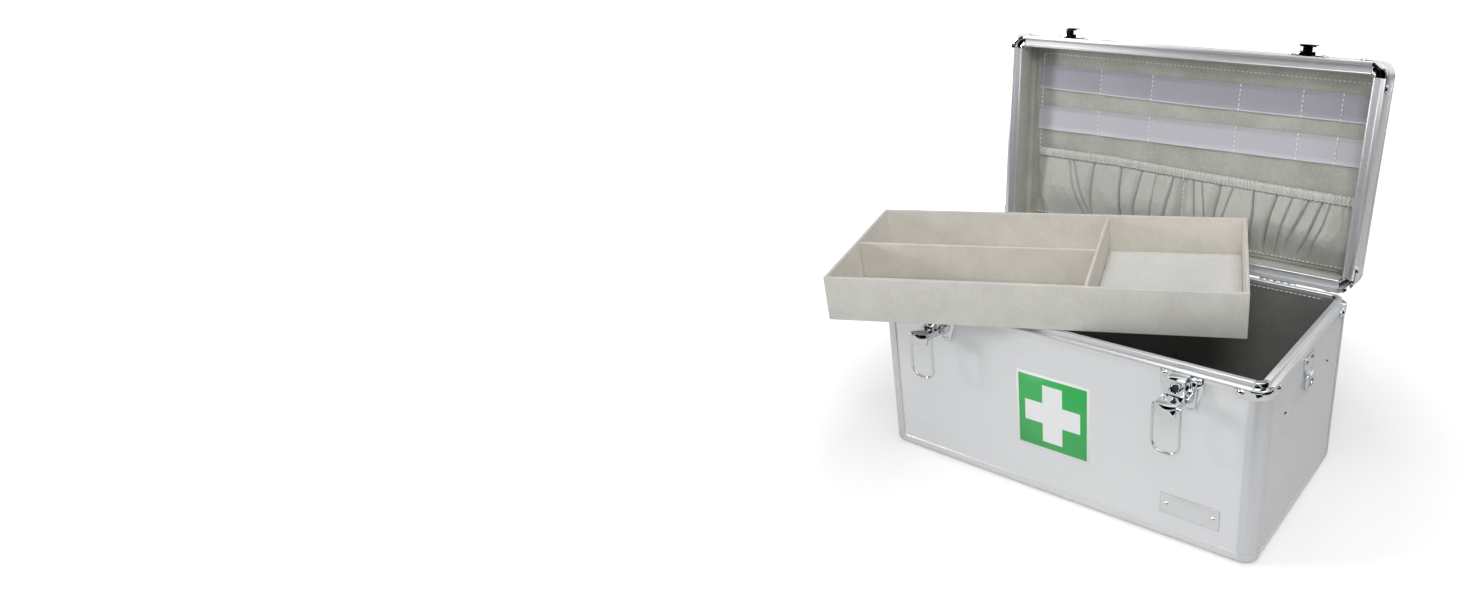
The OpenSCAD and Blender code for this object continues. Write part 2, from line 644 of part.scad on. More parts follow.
// Lid rim: outer ridge, groove for the tongue, inner ridge and inner leg
lid_z0 = part_z + rim_gap;
ridge_w = tongue_in - 0.4 * skin_t;
groove_z = part_z + tongue_h + rim_gap;
lid_ridge_in = rim_in + rim_gap + 0.1 * skin_t;
lid_rim_in = lid_ridge_in + rim_t;
lid_ridge_z = groove_z - 0.6 * tongue_h;
lid_leg_top = groove_z + lid_leg_h;
module lid_rim_section() {
    difference() {
        translate([0, lid_z0]) square([ridge_w, lid_flange_h]);
        translate([panel_in, groove_z + rim_t]) square([ridge_w, lid_flange_h]);
    }
    translate([skin_t, groove_z]) square([lid_rim_in - skin_t, rim_t]);
    polygon([[lid_ridge_in, lid_ridge_z + rim_t / 3], [lid_ridge_in + rim_t / 3, lid_ridge_z],
        [lid_rim_in - rim_t / 3, lid_ridge_z], [lid_rim_in, lid_ridge_z + rim_t / 3],
        [lid_rim_in, lid_leg_top], [lid_ridge_in, lid_leg_top]]);
}
module lid_rim() color("gainsboro") on_lid() rim_runs() lid_rim_section();
module lid_rim_corners() color("whitesmoke") on_lid() {
    four_corners(corner_r) turned(corner_r) corner_section(lid_tab_low) lid_rim_section();
    both_x() both_y() tab_pair(lid_tab_low);
}
module lid_rim_rivets() color("whitesmoke") on_lid() tab_rivets(lid_tab_low);

// Lid walls, posts, top edge and top panel
lid_wall_low = groove_z + rim_t + 0.1 * skin_t;
lid_wall_high = case_h - edge_frame_web - skin_t - 0.1 * skin_t;
lid_post_low = lid_z0 + lid_flange_h + 0.1 * skin_t;
lid_post_high = case_h - edge_h - 0.1 * skin_t;
module lid_walls() color("gainsboro") on_lid() {
    both_y() translate([0, 0, lid_wall_low]) front_run(case_w - 2 * panel_end)
        translate([panel_in, 0]) square([panel_t, lid_wall_high - lid_wall_low]);
    both_x() translate([0, 0, lid_wall_low]) left_run(case_d - 2 * panel_end)
        translate([panel_in, 0]) square([panel_t, lid_wall_high - lid_wall_low]);
}
module lid_posts() color("silver") on_lid() both_x() both_y() post(lid_post_low, lid_post_high);
module lid_edges() color("silver") on_lid() translate([0, 0, case_h]) mirror([0, 0, 1]) edge_runs();
module lid_edge_corners() color("gainsboro") on_lid() translate([0, 0, case_h]) mirror([0, 0, 1])
    edge_corner_caps();
module lid_top() color("gainsboro") on_lid() translate([0, 0, case_h - skin_t - deck_t])
    linear_extrude(deck_t) inset_plan(deck_in);

// Felt lining of the lid
lid_lining_in = lid_ridge_in - soft_gap - lining_t;
lid_lining_low = groove_z + rim_t + soft_gap;
lid_lining_high = case_h - skin_t - deck_t - soft_gap;
lid_face_z = lid_lining_high - lining_t;
lid_inner_w = case_w - 2 * (lid_lining_in + lining_t);
lid_inner_d = case_d - 2 * (lid_lining_in + lining_t);
module lid_lining() color("darkgray") on_lid() difference() {
    translate([0, 0, lid_lining_low]) linear_extrude(lid_lining_high - lid_lining_low)
        inset_plan(lid_lining_in);
    translate([0, 0, lid_lining_low - cut]) linear_extrude(lid_face_z - lid_lining_low + cut)
        inset_plan(lid_lining_in + lining_t);
}

// Two rows of clear loop strips, bowed a little between their stitches
strip_w = lid_inner_w - 16 * skin_t;
strip_t = 0.8;
strip_bow = 1.6;
strip_y_shares = [-0.646, -0.205];
stitch_shares = [-1, -0.565, -0.23, 0.3, 0.65, 0.86, 1];
function bow(u) = let (i = max([for (k = [0 : len(stitch_shares) - 2]) stitch_shares[k] <= u ? k : 0]),
    t = (u - stitch_shares[i]) / (stitch_shares[i + 1] - stitch_shares[i])) sin(180 * max(0, min(1, t)));
bow_steps = 36;
module loop_strip() {
    us = [for (i = [0 : bow_steps]) -1 + 2 * i / bow_steps];
    rotate([90, 0, 0]) linear_extrude(strip_h, center = true) polygon(concat(
        [for (u = us) [u * strip_w / 2, -strip_bow * bow(u)]],
        [for (i = [bow_steps : -1 : 0]) [us[i] * strip_w / 2, -strip_bow * bow(us[i]) - strip_t]]));
}
module loop_strips() color("lavender") on_lid() for (k = strip_y_shares)
    translate([0, k * lid_inner_d / 2, lid_face_z - soft_gap]) loop_strip();

// Gathered pocket: one sheet, drawn in at its elastic mouth, full below it
pocket_w = strip_w;
pocket_top_share = 0.165;
pocket_y0 = pocket_top_share * lid_inner_d / 2;
pocket_h = lid_inner_d / 2 - pocket_foot - pocket_y0;
pocket_t = 1.2;
pocket_nx = 64;
pocket_ny = 8;
band_h_share = 0.11;
function gather_wave(u, v) = 0.5 + 0.5 * sin(360 * (gathers * u + 0.6 * sin(360 * u * 2) * v + 0.25 * sin(180 * gathers * u * 0.5)));
function edge_fade(u, v) = min(1, 6 * u, 6 * (1 - u)) * min(1, 2.2 * (1 - v));
function pocket_lift(u, v) = soft_gap + edge_fade(u, v) * pocket_bulge
    * (v < band_h_share ? 0.28 + 0.06 * gather_wave(u, 0)
        : (0.3 + 0.38 * sin(180 * min(1, v * 0.8)) + 0.3 * gather_wave(u, v) * (1 - 0.75 * v)));
function pocket_sag(u) = 0.05 * pocket_h * sin(180 * u);
module lid_pocket() color("darkgray") on_lid() {
    nx = pocket_nx;
    ny = pocket_ny;
    row = nx + 1;
    v_of = [0, band_h_share * 0.98, band_h_share * 1.2, 0.25, 0.4, 0.55, 0.7, 0.85, 1];
    pts = [for (layer = [0, 1], j = [0 : ny], i = [0 : nx]) let (u = i / nx, v = v_of[j])
        [(u - 0.5) * pocket_w, pocket_y0 + v * pocket_h + (1 - v) * pocket_sag(u),
            lid_face_z - pocket_lift(u, v) - layer * pocket_t]];
    n = row * (ny + 1);
    quads = concat(
        [for (j = [0 : ny - 1], i = [0 : nx - 1]) let (a = j * row + i) [a, a + 1, a + row + 1, a + row]],
        [for (j = [0 : ny - 1], i = [0 : nx - 1]) let (a = n + j * row + i) [a, a + row, a + row + 1, a + 1]],
        [for (i = [0 : nx - 1]) [i, n + i, n + i + 1, i + 1]],
        [for (i = [0 : nx - 1]) let (a = ny * row + i) [a, a + 1, n + a + 1, n + a]],
        [for (j = [0 : ny - 1]) let (a = j * row) [a, a + row, n + a + row, n + a]],
        [for (j = [0 : ny - 1]) let (a = j * row + nx) [a, n + a, n + a + row, a + row]]);
    faces = [for (q = quads) each [[q[0], q[1], q[2]], [q[0], q[2], q[3]]]];
    polyhedron(pts, faces);
}

// Catches: riveted plates with a hook for the bails
catch_h = 8.6;
catch_low = part_z + rim_gap + rim_gap;
catch_w = plate_w;
catch_rivet_x = 0.37 * catch_w;
catch_rivet_z = catch_low + catch_h / 2;
hook_w = 17;
hook_out = 10.8;
hook_neck_w = 9;
hook_lip_h = 5.8;
module catch() difference() {
    union() {
        to_front(0, catch_low) linear_extrude(plate_t) hull() {
            for (s = [-1, 1]) translate([s * (catch_w / 2 - catch_h / 2), catch_h / 2]) circle(d = catch_h, $fn = 32);
        }
        translate([-hook_neck_w / 2, -case_d / 2 - hook_out, hook_web_z]) cube([hook_neck_w, hook_out - rim_gap, hook_t]);
        translate([-hook_neck_w / 2, -case_d / 2 - plate_t, hook_web_z]) cube([hook_neck_w, plate_t - rim_gap, catch_h / 2]);
        translate([-hook_w / 2, -case_d / 2 - hook_out, hook_web_z]) cube([hook_w, hook_t, hook_lip_h]);
    }
    for (s = [-1, 1]) to_front(s * catch_rivet_x, catch_rivet_z, -cut)
        cylinder(d = latch_rivet_d / 2, h = plate_t + 2 * cut);
}
module lid_catches() color("whitesmoke") on_lid() both_latches() catch();
module catch_rivets() color("silver") on_lid() both_latches() for (s = [-1, 1])
    to_front(s * catch_rivet_x, catch_rivet_z, plate_t)
        rivet(latch_rivet_d, latch_rivet_d / 4, latch_rivet_d / 2 - 2 * bore_gap, plate_t);

// Carry handle on the lid, folded towards the hinges
bracket_w = 24;
bracket_d = 30;
bracket_t = 1.6;
ear_t = 2;
pivot_up = 7;
pivot_d = 4;
arm_w = 9;
arm_t = 3;
arm_x = handle_span / 2 - ear_t - soft_gap - arm_t;
module handle_bracket() difference() {
    union() {
        translate([-bracket_w / 2, -bracket_d / 2, 0]) cube([bracket_w, bracket_d, bracket_t]);
        hull() {
            translate([-ear_t, 0, pivot_up]) rotate([0, 90, 0]) cylinder(d = arm_w - 2 * skin_t, h = ear_t, $fn = 32);
            translate([-ear_t, -bracket_d / 3, 0]) cube([ear_t, 2 * bracket_d / 3, bracket_t]);
        }
    }
    translate([0, 0, pivot_up]) rotate([0, 90, 0]) cylinder(d = pivot_d, h = 2 * bracket_w, center = true);
}
module handle_brackets() color("silver") on_lid() both_x()
    translate([handle_span / 2, 0, case_h]) handle_bracket();
module handle_pins() color("silver") on_lid() both_x()
    translate([arm_x - soft_gap, 0, case_h + pivot_up]) rotate([0, 90, 0])
        cylinder(d = pivot_d, h = handle_span / 2 - arm_x + 2 * soft_gap);
module handle_arms() color("silver") on_lid() translate([0, 0, case_h + pivot_up]) both_x() difference() {
    translate([arm_x, 0, 0]) rotate([90, 0, 90]) linear_extrude(arm_t) hull() {
        circle(d = arm_w, $fn = 32);
        translate([handle_reach, 0]) circle(d = arm_w, $fn = 32);
    }
    rotate([0, 90, 0]) cylinder(d = pivot_d + 2 * bore_gap, h = handle_span, center = true);
}
grip_waist_share = 0.86;
module handle_grip() color("dimgray") on_lid() translate([0, handle_reach, case_h + pivot_up])
    rotate([0, 90, 0]) rotate_extrude() polygon([
        [0, -arm_x], [grip_d * grip_waist_share / 2, -arm_x], [grip_d / 2, -arm_x * grip_waist_share],
        [grip_d / 2, arm_x * grip_waist_share], [grip_d * grip_waist_share / 2, arm_x], [0, arm_x]]);

// Tray: lies on the front rim and on the inner ridge of the open lid
tray_rest_y = -case_d / 2 + tongue_in;
tray_rest_z = part_z + tongue_h + soft_gap;
ridge_y = lid_y(case_d / 2 - lid_rim_in, lid_ridge_z + rim_t / 3);
ridge_z = lid_z(case_d / 2 - lid_rim_in, lid_ridge_z + rim_t / 3);
tray_tilt = atan2(ridge_z + soft_gap - tray_rest_z, ridge_y - tray_rest_y);
tray_floor_t = 3;
tray_inner_h = tray_h - tray_floor_t;
module on_mouth() translate([0, tray_rest_y, tray_rest_z]) rotate([tray_tilt, 0, 0])
    translate([-tray_left, -tray_front - tray_rest_y, 0]) rotate([0, 0, tray_yaw]) children();
module tray_shell() color("tan") on_mouth() difference() {
    translate([-tray_w / 2, -tray_d / 2, 0]) cube([tray_w, tray_d, tray_h]);
    translate([-tray_w / 2 + tray_t, -tray_d / 2 + tray_t, tray_floor_t])
        cube([tray_w - 2 * tray_t, tray_d - 2 * tray_t, tray_h]);
}
divider_h = tray_inner_h - 2 * skin_t;
module tray_dividers() color("tan") on_mouth() translate([0, 0, tray_floor_t]) {
    translate([cross_x - tray_t / 2, -tray_d / 2 + tray_t, 0]) cube([tray_t, tray_d - 2 * tray_t, divider_h]);
    translate([-tray_w / 2 + tray_t, -tray_t / 2, 0])
        cube([tray_w / 2 + cross_x - 1.5 * tray_t, tray_t, divider_h]);
}
pad_t = 1.2;
module pad(x0, x1, y0, y1) translate([x0 + soft_gap, y0 + soft_gap, tray_floor_t + soft_gap])
    cube([x1 - x0 - 2 * soft_gap, y1 - y0 - 2 * soft_gap, pad_t]);
module tray_pads() color("rosybrown") on_mouth() {
    for (s = [-1, 1]) mirror([0, s < 0 ? 1 : 0, 0])
        pad(-tray_w / 2 + tray_t, cross_x - tray_t / 2, tray_t / 2, tray_d / 2 - tray_t);
    pad(cross_x + tray_t / 2, tray_w / 2 - tray_t, -tray_d / 2 + tray_t, tray_d / 2 - tray_t);
}

front_panel();
rear_panel();
end_panels();
floor_panel();
corner_posts();
base_frame();
base_corners();
body_rim();
body_rim_corners();
body_rim_rivets();
body_lining();
tray_ledges();
end_rivets();
latch_plates();
latch_rivets();
lock_boxes();
key_posts();
lever_pins();
strap_plates();
strap_rivets();
hinge_body_leaves();
hinge_pins();
hinge_body_rivets();
lid_rim();
lid_rim_corners();
lid_rim_rivets();
lid_walls();
lid_posts();
lid_edges();
lid_edge_corners();
lid_top();
lid_lining();
loop_strips();
lid_pocket();
lid_catches();
catch_rivets();
hinge_lid_leaves();
hinge_lid_rivets();
handle_brackets();
handle_pins();
lever_left();
lever_right();
bail_left();
bail_right();
bolt_left();
bolt_right();
ring_left();
ring_right();
handle_arms();
handle_grip();
tray_shell();
tray_dividers();
tray_pads();
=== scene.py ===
import math
import random

import bpy
import numpy as np
from mathutils import Matrix, Vector


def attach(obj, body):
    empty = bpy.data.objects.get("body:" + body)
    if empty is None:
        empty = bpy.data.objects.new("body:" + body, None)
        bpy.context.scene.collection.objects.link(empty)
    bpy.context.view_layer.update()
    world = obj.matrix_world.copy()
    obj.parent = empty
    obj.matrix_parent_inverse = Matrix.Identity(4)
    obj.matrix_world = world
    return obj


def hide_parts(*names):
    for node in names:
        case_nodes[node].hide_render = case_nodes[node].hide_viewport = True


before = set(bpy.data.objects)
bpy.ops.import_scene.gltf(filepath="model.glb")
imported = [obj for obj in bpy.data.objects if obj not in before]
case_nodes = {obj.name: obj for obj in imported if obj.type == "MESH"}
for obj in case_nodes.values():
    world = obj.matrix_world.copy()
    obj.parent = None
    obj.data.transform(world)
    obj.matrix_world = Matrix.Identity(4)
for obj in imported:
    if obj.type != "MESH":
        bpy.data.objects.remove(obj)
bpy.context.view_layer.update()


# Wall panels. The front, rear, floor and lid panels are thin board faced with
# aluminium film, and the end panels have fine pressed ribs. All of them are slid
# into the profiles. The film is satin, with fine grinding lines along the case.
def linear(hex_colour):
    rgb = [int(hex_colour[i:i + 2], 16) / 255 for i in (1, 3, 5)]
    return [c / 12.92 if c <= 0.04045 else ((c + 0.055) / 1.055) ** 2.4 for c in rgb] + [1]


def add(tree, kind, values={}, links={}, **settings):
    made = tree.nodes.new(kind)
    for name, value in settings.items():
        setattr(made, name, value)
    for name, value in values.items():
        made.inputs[name].default_value = value
    for name, (source, output) in links.items():
        tree.links.new(source.outputs[output], made.inputs[name])
    return made


def new_finish(name, colour, metallic, roughness):
    finish = bpy.data.materials.new(name)
    finish.use_nodes = True
    tree = finish.node_tree
    shader = tree.nodes["Principled BSDF"]
    shader.inputs["Base Color"].default_value = linear(colour)
    shader.inputs["Metallic"].default_value = metallic
    shader.inputs["Roughness"].default_value = roughness
    place = (add(tree, "ShaderNodeTexCoord"), "Object")
    return finish, tree, shader, place


def noise(tree, place, scale, detail, roughness=0.5):
    # an uneven pattern, with spots about 1 / scale metres across
    values = {"Scale": scale, "Detail": detail, "Roughness": roughness}
    return add(tree, "ShaderNodeTexNoise", values, {"Vector": place}), 0


def two_tone(tree, shader, low, high, pattern):
    skin = add(tree, "ShaderNodeMix", {6: linear(low), 7: linear(high)}, {0: pattern}, data_type="RGBA")
    tree.links.new(skin.outputs[2], shader.inputs["Base Color"])


def uneven_gloss(tree, shader, low, high, pattern, start=0, end=1):
    # roughness runs from low to high while the pattern runs from start to end
    values = {"From Min": start, "From Max": end, "To Min": low, "To Max": high}
    dull = add(tree, "ShaderNodeMapRange", values, {"Value": pattern})
    tree.links.new(dull.outputs["Result"], shader.inputs["Roughness"])


def fine_relief(tree, shader, strength, height, pattern):
    relief = add(tree, "ShaderNodeBump", {"Strength": strength, "Distance": height}, {"Height": pattern})
    tree.links.new(relief.outputs["Normal"], shader.inputs["Normal"])


def give(finish, *names):
    for name in names:
        mesh = case_nodes[name].data
        mesh.materials.clear()
        mesh.materials.append(finish)


# Film on board: grinding lines about 40 mm long and under 1 mm apart, over a soft
# cloudy change of tone from the rolling. They give the panel its silky grain.
film, tree, shader, place = new_finish("brushed_aluminium_film", "#d3d5d9", 0.45, 0.4)
along = add(tree, "ShaderNodeMapping", {"Scale": (25, 25, 1500)}, {"Vector": place})
lines = noise(tree, (along, "Vector"), 1, 3, 0.6)
cloud = noise(tree, place, 7, 2)
grain = add(tree, "ShaderNodeMix", {6: linear("#d5d6d8"), 7: linear("#e9eaec")}, {0: lines}, data_type="RGBA")
tone = add(tree, "ShaderNodeMix", {7: linear("#e0e1e3")}, {0: cloud, 6: (grain, 2)}, data_type="RGBA")
tree.links.new(tone.outputs[2], shader.inputs["Base Color"])
uneven_gloss(tree, shader, 0.34, 0.48, lines)
fine_relief(tree, shader, 0.12, 0.00006, lines)
give(film, "front_panel", "rear_panel", "floor_panel", "lid_walls", "lid_top")

# The ends have the same film pressed into ribs 3 mm apart. The grooves get painted
# shade, a dark grey mixed in, most where they run under the edge of the corner posts.
rib_pitch, first_rib = 0.003, 0.0135
ribbed = film.copy()
ribbed.name = "ribbed_aluminium_film"
tree = ribbed.node_tree
shader, bare = tree.nodes["Principled BSDF"], tree.nodes["Mix.001"]
spot = add(tree, "ShaderNodeSeparateXYZ", {}, {0: (tree.nodes["Texture Coordinate"], "Object")})
raised = add(tree, "ShaderNodeMath", {1: -first_rib}, {0: (spot, "Z")}, operation="ADD")
near = add(tree, "ShaderNodeMath", {1: rib_pitch / 2}, {0: (raised, 0)}, operation="PINGPONG")
groove = add(tree, "ShaderNodeMapRange", {"From Min": 0.0002, "From Max": 0.0008, "To Min": 1, "To Max": 0},
             {"Value": (near, 0)})
sideways = add(tree, "ShaderNodeMath", {}, {0: (spot, "Y")}, operation="ABSOLUTE")
under = add(tree, "ShaderNodeMapRange", {"From Min": 0.0895, "From Max": 0.091, "To Min": 0.42, "To Max": 1},
            {"Value": (sideways, 0)})
shade = add(tree, "ShaderNodeMath", {}, {0: (groove, "Result"), 1: (under, "Result")}, operation="MULTIPLY")
# painted shade in the grooves: dark grey mixed into the film's colour by the groove mask
skin = add(tree, "ShaderNodeMix", {7: linear("#5c5d60")}, {0: (shade, 0), 6: (bare, 2)}, data_type="RGBA")
tree.links.new(skin.outputs[2], shader.inputs["Base Color"])
give(ribbed, "end_panels")


# Profiles. Extruded aluminium, anodised satin, cut to length: the rim with its
# tongue, the corner posts and the edge frames. Sharp edges are broken on all but
# the posts.
mm = 0.001


def only(piece):
    bpy.ops.object.select_all(action="DESELECT")
    piece.select_set(True)
    bpy.context.view_layer.objects.active = piece


def shape_with(piece, kind, **settings):
    only(piece)
    step = piece.modifiers.new("step", kind)
    for name, value in settings.items():
        setattr(step, name, value)
    bpy.ops.object.modifier_apply(modifier=step.name)


def smooth_below(piece, degrees):
    only(piece)
    bpy.ops.object.shade_smooth_by_angle(angle=math.radians(degrees))


def fit(piece, name, finish, body, slot, *nodes):
    piece.name = name
    piece.data.materials.clear()
    piece.data.materials.append(finish)
    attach(piece, body)
    if nodes:
        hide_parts(*nodes)


def formed(node, finish, body, slot, edge, segments=2):
    # takes a CAD node's shape, merges its loose triangles and breaks its edges,
    # unless edge is 0; the new piece stands for the node
    piece = bpy.data.objects.new(node + "_formed", case_nodes[node].data.copy())
    bpy.context.scene.collection.objects.link(piece)
    only(piece)
    bpy.ops.mesh.customdata_custom_splitnormals_clear()
    bpy.ops.object.mode_set(mode="EDIT")
    bpy.ops.mesh.select_all(action="SELECT")
    bpy.ops.mesh.remove_doubles(threshold=0.003 * mm)
    bpy.ops.mesh.dissolve_limited(angle_limit=math.radians(1))
    bpy.ops.object.mode_set(mode="OBJECT")
    if edge:
        shape_with(piece, "BEVEL", width=edge * mm, segments=segments, limit_method="ANGLE",
                   angle_limit=math.radians(38))
    smooth_below(piece, 32)
    fit(piece, node + "_formed", finish, body, slot, node)


def toned_copy(finish, name, low, high):
    # the same finish between two other tones
    made = finish.copy()
    made.name = name
    mix = made.node_tree.nodes["Mix"]
    mix.inputs[6].default_value = linear(low)
    mix.inputs[7].default_value = linear(high)
    return made


# Anodised skin: drawing lines that run along each profile and a dull, even grey.
# It gives a broad soft highlight and a bright line on the tongue. The posts have
# their lines upright, and are a little darker and duller.
anodised, tree, shader, place = new_finish("satin_anodised_profile", "#cfd1d3", 0.7, 0.3)
along = add(tree, "ShaderNodeMapping", {"Scale": (18, 18, 1800)}, {"Vector": place})
drawn = noise(tree, (along, "Vector"), 1, 2)
two_tone(tree, shader, "#d8d9db", "#e8e9eb", drawn)
uneven_gloss(tree, shader, 0.24, 0.38, drawn)
upright = toned_copy(anodised, "satin_anodised_post", "#cdced0", "#dedfe1")
upright.node_tree.nodes["Mapping"].inputs["Scale"].default_value = (1500, 1500, 12)
upright.node_tree.nodes["Map Range"].inputs["To Min"].default_value = 0.36
upright.node_tree.nodes["Map Range"].inputs["To Max"].default_value = 0.46
for node, finish, body, edge in (
        ("body_rim", anodised, "case", 0.25), ("lid_rim", anodised, "lid", 0.25),
        ("corner_posts", upright, "case", 0), ("lid_posts", anodised, "lid", 0),
        ("base_frame", anodised, "case", 0.12), ("lid_edges", anodised, "lid", 0.12)):
    formed(node, finish, body, "profile", edge)

# The floor of the lid's groove is out of the light and gets painted shade: a darker,
# duller grey. Its faces are found by their height in the closed lid; on_lid opens what is closed.
groove_floor_shade = toned_copy(anodised, "anodised_groove_floor", "#b4b5b8", "#c6c7ca")
groove_floor_shade.node_tree.nodes["Principled BSDF"].inputs["Metallic"].default_value = 0.3
groove_floor_shade.node_tree.nodes["Map Range"].inputs["To Max"].default_value = 0.6
groove_z = 175.3
lid_open = math.radians(-97.3)
hinge = Vector((0, 0.1095, 0.1712))
on_lid = Matrix.Translation(hinge) @ Matrix.Rotation(lid_open, 4, "X") @ Matrix.Translation(-hinge)
lid_groove = bpy.data.objects["lid_rim_formed"]
lid_groove.data.materials.append(groove_floor_shade)
for face in lid_groove.data.polygons:
    closed_z = (on_lid.inverted() @ face.center).z / mm
    is_level = abs(face.normal.dot(on_lid.col[2].xyz)) > 0.9
    face.material_index = int(abs(closed_z - groove_z) < 0.3 and is_level)


# Chromed fittings. Corner pieces, latch plates, lock boxes, catches, strap plates
# and levers are pressed from thin steel sheet and chrome plated, as the domed rivets
# are. Cut edges are a little rounded, and the bright faces slightly wavy and smudged.
chrome, tree, shader, place = new_finish("bright_chrome_plate", "#dcdee0", 1, 0.07)
fine_relief(tree, shader, 0.1, 0.0001, noise(tree, place, 160, 1))
uneven_gloss(tree, shader, 0.04, 0.16, noise(tree, place, 55, 4), 0.35, 0.75)
for node, body, edge in (
        ("body_rim_corners", "case", 0.3), ("lid_rim_corners", "lid", 0.3), ("base_corners", "case", 0.12),
        ("lid_edge_corners", "lid", 0.12), ("latch_plates", "case", 0.25), ("lock_boxes", "case", 0.45),
        ("lid_catches", "lid", 0.3), ("strap_plates", "case", 0.3), ("lever_left", "lever_left", 0.3),
        ("lever_right", "lever_right", 0.3), ("body_rim_rivets", "case", 0), ("lid_rim_rivets", "lid", 0),
        ("latch_rivets", "case", 0), ("end_rivets", "case", 0)):
    formed(node, chrome, body, "chromed", edge)

# The other rivets, the pins, hinge leaves and bolts and the handle's brackets and
# arms: plain steel, zinc plated and rubbed satin. They are darker than the chrome.
steel, tree, shader, place = new_finish("satin_zinc_plate", "#b4b6b9", 1, 0.3)
patch = noise(tree, place, 220, 3)
two_tone(tree, shader, "#a3a5a8", "#c6c8ca", patch)
uneven_gloss(tree, shader, 0.2, 0.42, patch)
for node, body, edge in (
        ("strap_rivets", "case", 0), ("catch_rivets", "lid", 0), ("hinge_body_rivets", "case", 0),
        ("hinge_lid_rivets", "lid", 0), ("hinge_body_leaves", "case", 0.2), ("hinge_lid_leaves", "lid", 0.2),
        ("hinge_pins", "case", 0.2), ("lever_pins", "case", 0.2), ("bolt_left", "bolt_left", 0.3),
        ("bolt_right", "bolt_right", 0.3), ("handle_brackets", "lid", 0.3), ("handle_pins", "lid", 0.2),
        ("handle_arms", "handle", 0.5)):
    formed(node, steel, body, "steel", edge)

# Bails and D-rings: bent from bright drawn wire, with fine drawing lines.
wire, tree, shader, place = new_finish("bright_drawn_wire", "#d4d6d8", 1, 0.12)
uneven_gloss(tree, shader, 0.07, 0.2, noise(tree, place, 700, 2))
for node in ("bail_left", "bail_right", "ring_left", "ring_right"):
    formed(node, wire, node, "wire", 0)


# Carry grip. A hollow moulding of black plastic, slid over the handle's bar, with
# shallow finger rings and a fine spark grain from the mould, which dulls its black.
grain_black, tree, shader, place = new_finish("grained_black_moulding", "#1b1c1e", 0, 0.55)
spark = noise(tree, place, 1400, 2)
fine_relief(tree, shader, 0.4, 0.0001, spark)
two_tone(tree, shader, "#17181a", "#26272a", spark)
formed("handle_grip", grain_black, "handle", "grip", 0.8, 3)


# Keyways. The post in each lock and a thin disc set in the lock box behind the keyhole are
# black, as painted shade for the inside of the lock, so that the hole looks dark.
formed("key_posts", grain_black, "case", "steel", 0.2)
latches = (("left", -127), ("right", 127))
key_y, key_z = -118.3, 161.3
for name, x in latches:
    bpy.ops.object.select_all(action="DESELECT")
    bpy.ops.mesh.primitive_cylinder_add(vertices=48, radius=5.5 * mm, depth=0.5 * mm,
                                        rotation=(math.radians(90), 0, 0),
                                        location=(x * mm, key_y * mm, key_z * mm))
    keyhole_shade_disc = bpy.context.object
    bpy.ops.object.transform_apply(location=True, rotation=True, scale=True)
    fit(keyhole_shade_disc, "keyway_" + name, grain_black, "case", "steel")


# Body lining. Dark velour, glued to the boards, folded over the inner leg of the
# rim and stitched below the tongue. The floor edge is softly rounded, and the two
# ledges that carry the tray are covered in it too.
def pile(name, low, high, mottle, sheen):
    # Pile cloth: short fibres that lie in changing directions, which gives a fine
    # speckle, drawn 1 mm coarse so that it shows, and slow light and dark patches.
    finish, tree, shader, place = new_finish(name, low, 0, 0.95)
    fibre = noise(tree, place, 1150, 3, 0.75)
    patch = noise(tree, place, mottle, 5, 0.65)
    both = add(tree, "ShaderNodeMath", {1: 0.45}, {0: patch, 2: fibre}, operation="MULTIPLY_ADD")
    spread = add(tree, "ShaderNodeMapRange", {"From Min": 0.56, "From Max": 0.9}, {"Value": (both, 0)})
    two_tone(tree, shader, low, high, (spread, "Result"))
    fine_relief(tree, shader, 0.5, 0.0002, fibre)
    shader.inputs["Sheen Weight"].default_value = sheen
    shader.inputs["Sheen Roughness"].default_value = 0.6
    shader.inputs["Specular IOR Level"].default_value = 0.2
    return finish


def settle(piece, place=Matrix.Identity(4)):
    # moves the piece by place, and puts where it stands into its mesh
    bpy.context.view_layer.update()
    piece.data.transform(place @ piece.matrix_world)
    piece.matrix_world = Matrix.Identity(4)


def lining_shell(wide, deep, level, round_r, steps):
    # a flat sheet with rounded corners, drawn up its walls step by step;
    # each step is (height, how far the sheet comes in)
    bpy.ops.object.select_all(action="DESELECT")
    bpy.ops.mesh.primitive_plane_add(size=1, location=(0, 0, level * mm))
    shell = bpy.context.object
    shell.scale = (wide * mm, deep * mm, 1)
    bpy.ops.object.transform_apply(location=True, rotation=False, scale=True)
    bpy.ops.object.mode_set(mode="EDIT")
    bpy.ops.mesh.select_all(action="SELECT")
    bpy.ops.mesh.bevel(offset=round_r * mm, segments=6, affect="VERTICES")
    bpy.ops.mesh.select_all(action="SELECT")
    bpy.ops.mesh.region_to_loop()
    at, inward = level, 0
    for height, come_in in steps:
        bpy.ops.mesh.extrude_edges_move(TRANSFORM_OT_translate={"value": (0, 0, (height - at) * mm)})
        if come_in != inward:
            bpy.ops.transform.resize(value=((wide - 2 * come_in) / (wide - 2 * inward),
                                            (deep - 2 * come_in) / (deep - 2 * inward), 1))
        at, inward = height, come_in
    bpy.ops.mesh.select_all(action="SELECT")
    bpy.ops.mesh.normals_make_consistent(inside=True)
    bpy.ops.object.mode_set(mode="OBJECT")
    return shell


dark_velour = pile("dark_velour", "#706f6c", "#8b8a86", 30, 0.3)
case_lining = lining_shell(
    wide=383.6, deep=197.6, level=7.3, round_r=5.8,
    steps=((7.9, -0.6), (9.5, -1), (60, -1), (120, -0.2), (150, 1), (160, 1.8), (171.9, 2)))
shape_with(case_lining, "SOLIDIFY", thickness=0.5 * mm, offset=-1)
smooth_below(case_lining, 50)
fit(case_lining, "case_lining", dark_velour, "case", "dark_lining", "body_lining")
formed("tray_ledges", dark_velour, "case", "dark_lining", 1.2, 3)


# Stitches. White spun polyester thread, whose fine twist breaks up the white. One
# stitch is made and repeated along each seam.
thread, tree, shader, place = new_finish("white_polyester_thread", "#e9e9e6", 0, 0.6)
two_tone(tree, shader, "#d8d8d4", "#f2f2f0", noise(tree, place, 3000, 1))


